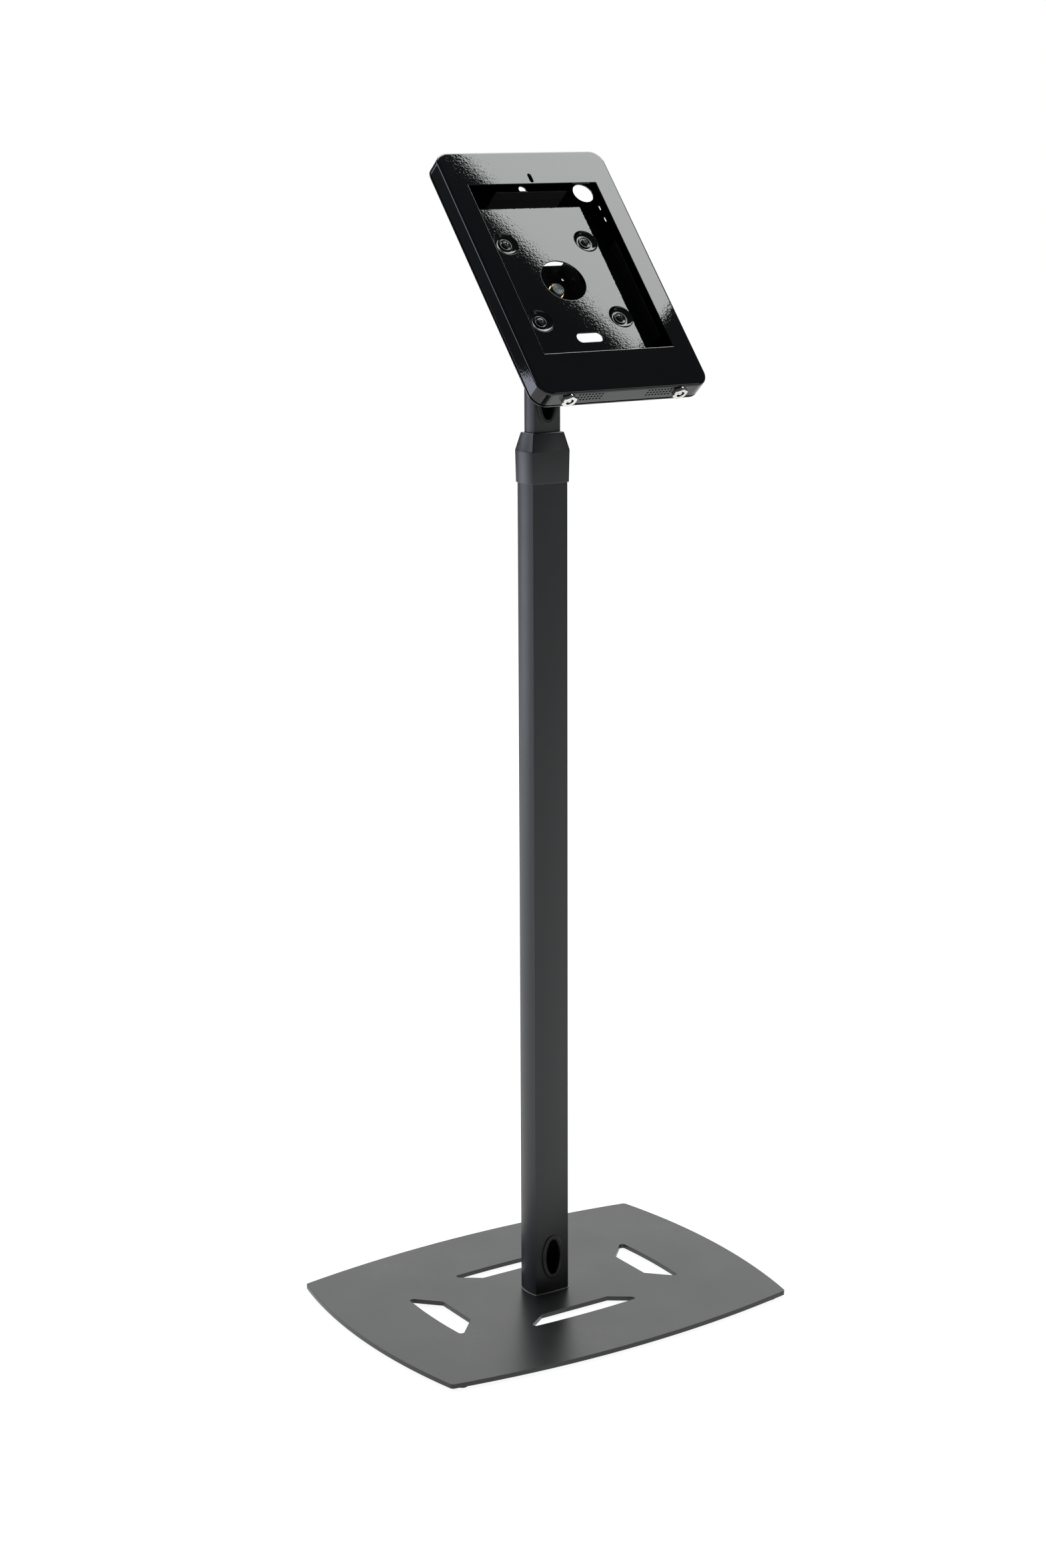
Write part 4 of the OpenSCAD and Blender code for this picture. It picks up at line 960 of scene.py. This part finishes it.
@dataclass(frozen=True)
class TubularLock:
    """A chrome lock: a six-sided head with eased corners, a threaded barrel and a turning
    core whose centre post stands in a ring keyway."""

    side: str
    flat: float = 0.0078
    proud: float = 0.0046
    barrel: float = 0.0057
    bore: float = 0.0042
    post: float = 0.0025
    length: float = 0.0047
    core_length: float = 0.0052
    stub: float = 0.00235
    stub_length: float = 0.0068
    keyway: float = 0.0068
    fit: float = 0.0002
    neck: float = 0.78
    ease: float = 1.105
    flute: float = 0.00035
    tab_turn: float = 3.9

    def _axes(self) -> Axes:
        """The lock's frame: z points out of the enclosure's lower wall.

        Returns:
            The frame at the lock's axis.
        """
        row = joint(f"lock_{self.side}_turn")
        base = enclosure_axes(0.0, 0.0, 0.0)
        return Axes(np.array(row["pos_m"]), base.x, base.z, -base.y)

    def build(self, maker: Maker) -> None:
        """Makes the body and the core.

        Args:
            maker: turns the grids into pieces.
        """
        axes = self._axes()
        a = np.linspace(0.0, 2.0 * np.pi, 144, endpoint=False)
        # six flats: r = apothem / cos(angle from the nearest flat's middle), eased at the corners
        near = (a + np.pi / 6) % (np.pi / 3) - np.pi / 6
        hexagon = 1.0 / np.cos(near)
        eased = np.minimum(hexagon, self.ease)
        top, low = self.proud, -self.length
        rows = rounded([
            (self.neck, 0.0, 0.0), (0.92, 0.0002, 0.0002), (1.0, top * 0.45, 0.0009),
            (1.0, top - 0.0007, 0.0005), (0.94, top, 0.0003)], 5)
        shape = np.clip((rows[:, :1] - self.neck) / 0.2, 0.0, 1.0)
        radius = self.flat * rows[:, :1] * (1.0 + (eased - 1.0) * shape)
        # a shallow flute down the middle of each flat
        below_rim = rows[:, 1:] < top - 0.0003
        flute = self.flute * np.cos(near * 6.0).clip(0.0, 1.0) ** 2 * shape * below_rim
        outer = self._ring(radius - flute, rows[:, 1:], a)
        ledge = rounded([
            (self.flat * 0.92, top, 0.0), (self.bore, top, 0.00025), (self.bore, low, 0.0002),
            (self.barrel, low, 0.0002), (self.barrel, 0.0, 0.0), (self.flat * 0.72, 0.0, 0.0)], 3)
        inner = self._ring(ledge[:, :1] + 0.0 * a, ledge[:, 1:], a)
        grid = np.concatenate([outer, inner], axis=0)
        maker.piece(f"lock_{self.side}_shell", [(axes.place(grid), True, True)], CHROME, "cover",
                    "chrome_plate", (f"lock_body_{self.side}",))
        inside = self.bore - self.fit
        core = rounded([
            (0.0, top - 0.0005, 0.0), (self.post * 0.55, top - 0.0005, 0.0003),
            (self.post, top - 0.0011, 0.0003), (self.post, top - self.keyway, 0.0002),
            (inside, top - self.keyway, 0.0002), (inside, -self.core_length, 0.0002),
            (self.stub, -self.core_length, 0.0),
            (self.stub, -self.stub_length, 0.0002), (0.0, -self.stub_length, 0.0)], 4)
        solid = turned(axes, core, 72)
        tab = self._tab(axes, top)
        maker.piece(f"lock_{self.side}_plug", [(solid, False, True), tab], CHROME, f"lock_{self.side}",
                    "chrome_plate", (f"lock_core_{self.side}",))

    @staticmethod
    def _ring(radius: np.ndarray, height: np.ndarray, a: np.ndarray) -> np.ndarray:
        """Local points (r cos a, r sin a, h) of a ring of rows.

        Args:
            radius: the radius at each row and angle.
            height: the height of each row.
            a: the angles.

        Returns:
            Points (rows, angles, 3).
        """
        return np.stack([radius * np.cos(a), radius * np.sin(a), height + 0.0 * radius], axis=-1)

    def _tab(self, axes: Axes, top: float) -> tuple[np.ndarray, bool, bool]:
        """The key guide in the ring keyway: a small rounded block beside the post.

        Args:
            axes: the lock's frame.
            top: the height of the head's face.

        Returns:
            World points, and whether the rows and the columns close.
        """
        section = rounded([
            (self.post - 0.0003, -0.0005, 0.0), (self.post + 0.0009, -0.0005, 0.0003),
            (self.post + 0.0009, 0.0005, 0.0003), (self.post - 0.0003, 0.0005, 0.0)], 3, True)
        floor = top - self.keyway - 0.0002
        tall = np.array([floor, floor, top - 0.0014, top - 0.0012, top - 0.0012])
        share = np.array([0.0, 1.0, 1.0, 0.8, 0.0])[:, None, None]
        middle = section.mean(axis=0)
        cos, sin = np.cos(self.tab_turn), np.sin(self.tab_turn)
        turn = np.array([[cos, -sin], [sin, cos]])
        flat = (middle + (section - middle)[None] * share) @ turn.T
        grid = np.concatenate([flat, np.broadcast_to(tall[:, None, None], (*flat.shape[:2], 1))], axis=-1)
        return axes.place(grid), False, True


@dataclass(frozen=True)
class BracketFasteners:
    """Four pan-head screws with cross recesses, on washers with a rolled rim."""

    square: float = 0.100
    cup: float = 0.003
    head: float = 0.0042
    high: float = 0.0022
    shank: float = 0.002
    tail: float = 0.0077
    rim: float = 0.0074
    seat: float = 0.0010
    crown: float = 0.0010
    groove_half: float = 0.00055
    groove_reach: float = 0.0024
    groove_deep: float = 0.0013
    first_turn: float = 0.35
    each_turn: float = 1.1

    def build(self, maker: Maker) -> None:
        """Makes the four screws as one piece and the four washers as another.

        Args:
            maker: turns the grids into pieces.
        """
        screws, washers = [], []
        for turn, (i, j) in enumerate([(-1, -1), (1, -1), (-1, 1), (1, 1)]):
            axes = enclosure_axes(i * self.square / 2, j * self.square / 2, -self.cup)
            screws.append((axes.place(self._screw(self.first_turn + self.each_turn * turn)), False, True))
            washers.append((turned(axes, self._washer(), 96), True, True))
        maker.piece("pan_screws", screws, HEAD, "enclosure", "black_oxide_steel", ("bracket_screws",))
        maker.piece("rolled_washers", washers, WASHER, "enclosure", "gloss_black_steel", ("bracket_washers",))

    def _screw(self, turn: float) -> np.ndarray:
        """Local points of one screw.

        The head's top is a low dome, h = seat + high - crown (r / R)^4, less the recess: two
        crossed grooves with sloping sides and ends.

        Args:
            turn: how far the recess is turned, in radians.

        Returns:
            Points (rows, columns, 3).
        """
        a = np.linspace(0.0, 2.0 * np.pi, 120, endpoint=False)[None, :]
        r = np.linspace(0.0, 1.0, 34)[:, None] * self.head
        seat = self.seat
        dome = seat + self.high - self.crown * (r / self.head) ** 4 + 0.0 * a
        x, y = r * np.cos(a - turn), r * np.sin(a - turn)
        along = np.minimum(np.abs(x), np.abs(y))
        reach = np.maximum(np.abs(x), np.abs(y))
        sides = np.clip((self.groove_half - along) / 0.00025, 0.0, 1.0)
        ends = np.clip((self.groove_reach - reach) / 0.0005, 0.0, 1.0)
        top = np.stack([r * np.cos(a), r * np.sin(a), dome - self.groove_deep * (sides * ends)], axis=-1)
        below = rounded([
            (self.head, seat + self.high - self.crown, 0.0), (self.head + 0.00002, seat, 0.0003),
            (self.shank, seat, 0.0), (self.shank, -self.tail + 0.0004, 0.0),
            (self.shank - 0.0004, -self.tail, 0.0), (0.0, -self.tail, 0.0)], 3)
        wide, tall = below[:, :1], below[:, 1:]
        low = np.stack([wide * np.cos(a), wide * np.sin(a), tall + 0.0 * a], axis=-1)
        return np.concatenate([top, low[1:]], axis=0)

    def _washer(self) -> np.ndarray:
        """The washer's section: a flat that rises to a rolled rim, then turns down to the cup.

        Returns:
            Rows of radius and height.
        """
        return rounded([
            (self.shank + 0.0001, 0.00005, 0.0), (self.shank + 0.0001, 0.00095, 0.0002),
            (0.0055, 0.00095, 0.0004), (0.0060, 0.00135, 0.0004), (self.rim, 0.00135, 0.0007),
            (self.rim, 0.00005, 0.0004)], 6, True)


@dataclass(frozen=True)
class PivotCap:
    """The pivot bolt: a turned head with fine rings on its face, and a plain shank."""

    head: float = 0.0075
    shank: float = 0.004
    face: float = -0.0135
    seat: float = -0.0185
    tail: float = -0.0374
    ripple: float = 0.00007
    ripple_pitch: float = 0.00125
    dish: float = 0.00025
    core: float = 0.0006

    def build(self, maker: Maker) -> None:
        """Turns the bolt from its face to its tail.

        Args:
            maker: turns the grids into pieces.
        """
        base = enclosure_axes(0.0, 0.0, 0.0)
        face, seat, tail = self.face, self.seat, self.tail
        ring = np.linspace(0.0, self.head - 0.0008, 60)
        fade = np.clip(ring / self.core, 0.0, 1.0)
        wave = self.ripple * np.cos(2.0 * np.pi * ring / self.ripple_pitch) * fade
        dish = -self.dish * np.exp(-(ring / self.core) ** 2)
        top = np.stack([ring, face + wave + dish - 0.0001], axis=1)
        rest = rounded([
            (self.head - 0.0007, face - 0.0001, 0.0), (self.head, face - 0.0008, 0.0005),
            (self.head, seat, 0.0003),
            (self.shank, seat, 0.0), (self.shank, tail, 0.0006), (0.0, tail, 0.0)], 5)
        solid = turned(base, np.concatenate([top, rest]), 120)
        maker.piece("pivot_cap", [(solid, False, True)], CAP, "tilt", "black_oxide_steel", ("pivot_bolt",))


def main() -> None:
    """Dresses the frame, builds the fine pieces and sets the stage."""
    logging.basicConfig(level=logging.INFO, format="%(message)s")
    finisher = Finisher()
    for name, node in frame["nodes"].items():
        finisher.dress(node, NODE_FINISH[name])
        LOG.info("dressed %s as %s", name, NODE_FINISH[name].name)
    maker = Maker(finisher)
    Collar().build(maker)
    FootSeal().build(maker)
    PortRing("lower_port_ring", "base", COLUMN_PLAN, 0.002).build(maker)
    PortRing("upper_port_ring", "mast", TUBE_PLAN, 0.0018).build(maker)
    TubularLock("left").build(maker)
    TubularLock("right").build(maker)
    BracketFasteners().build(maker)
    PivotCap().build(maker)
    Studio().build()


if __name__ == "__main__":
    main()
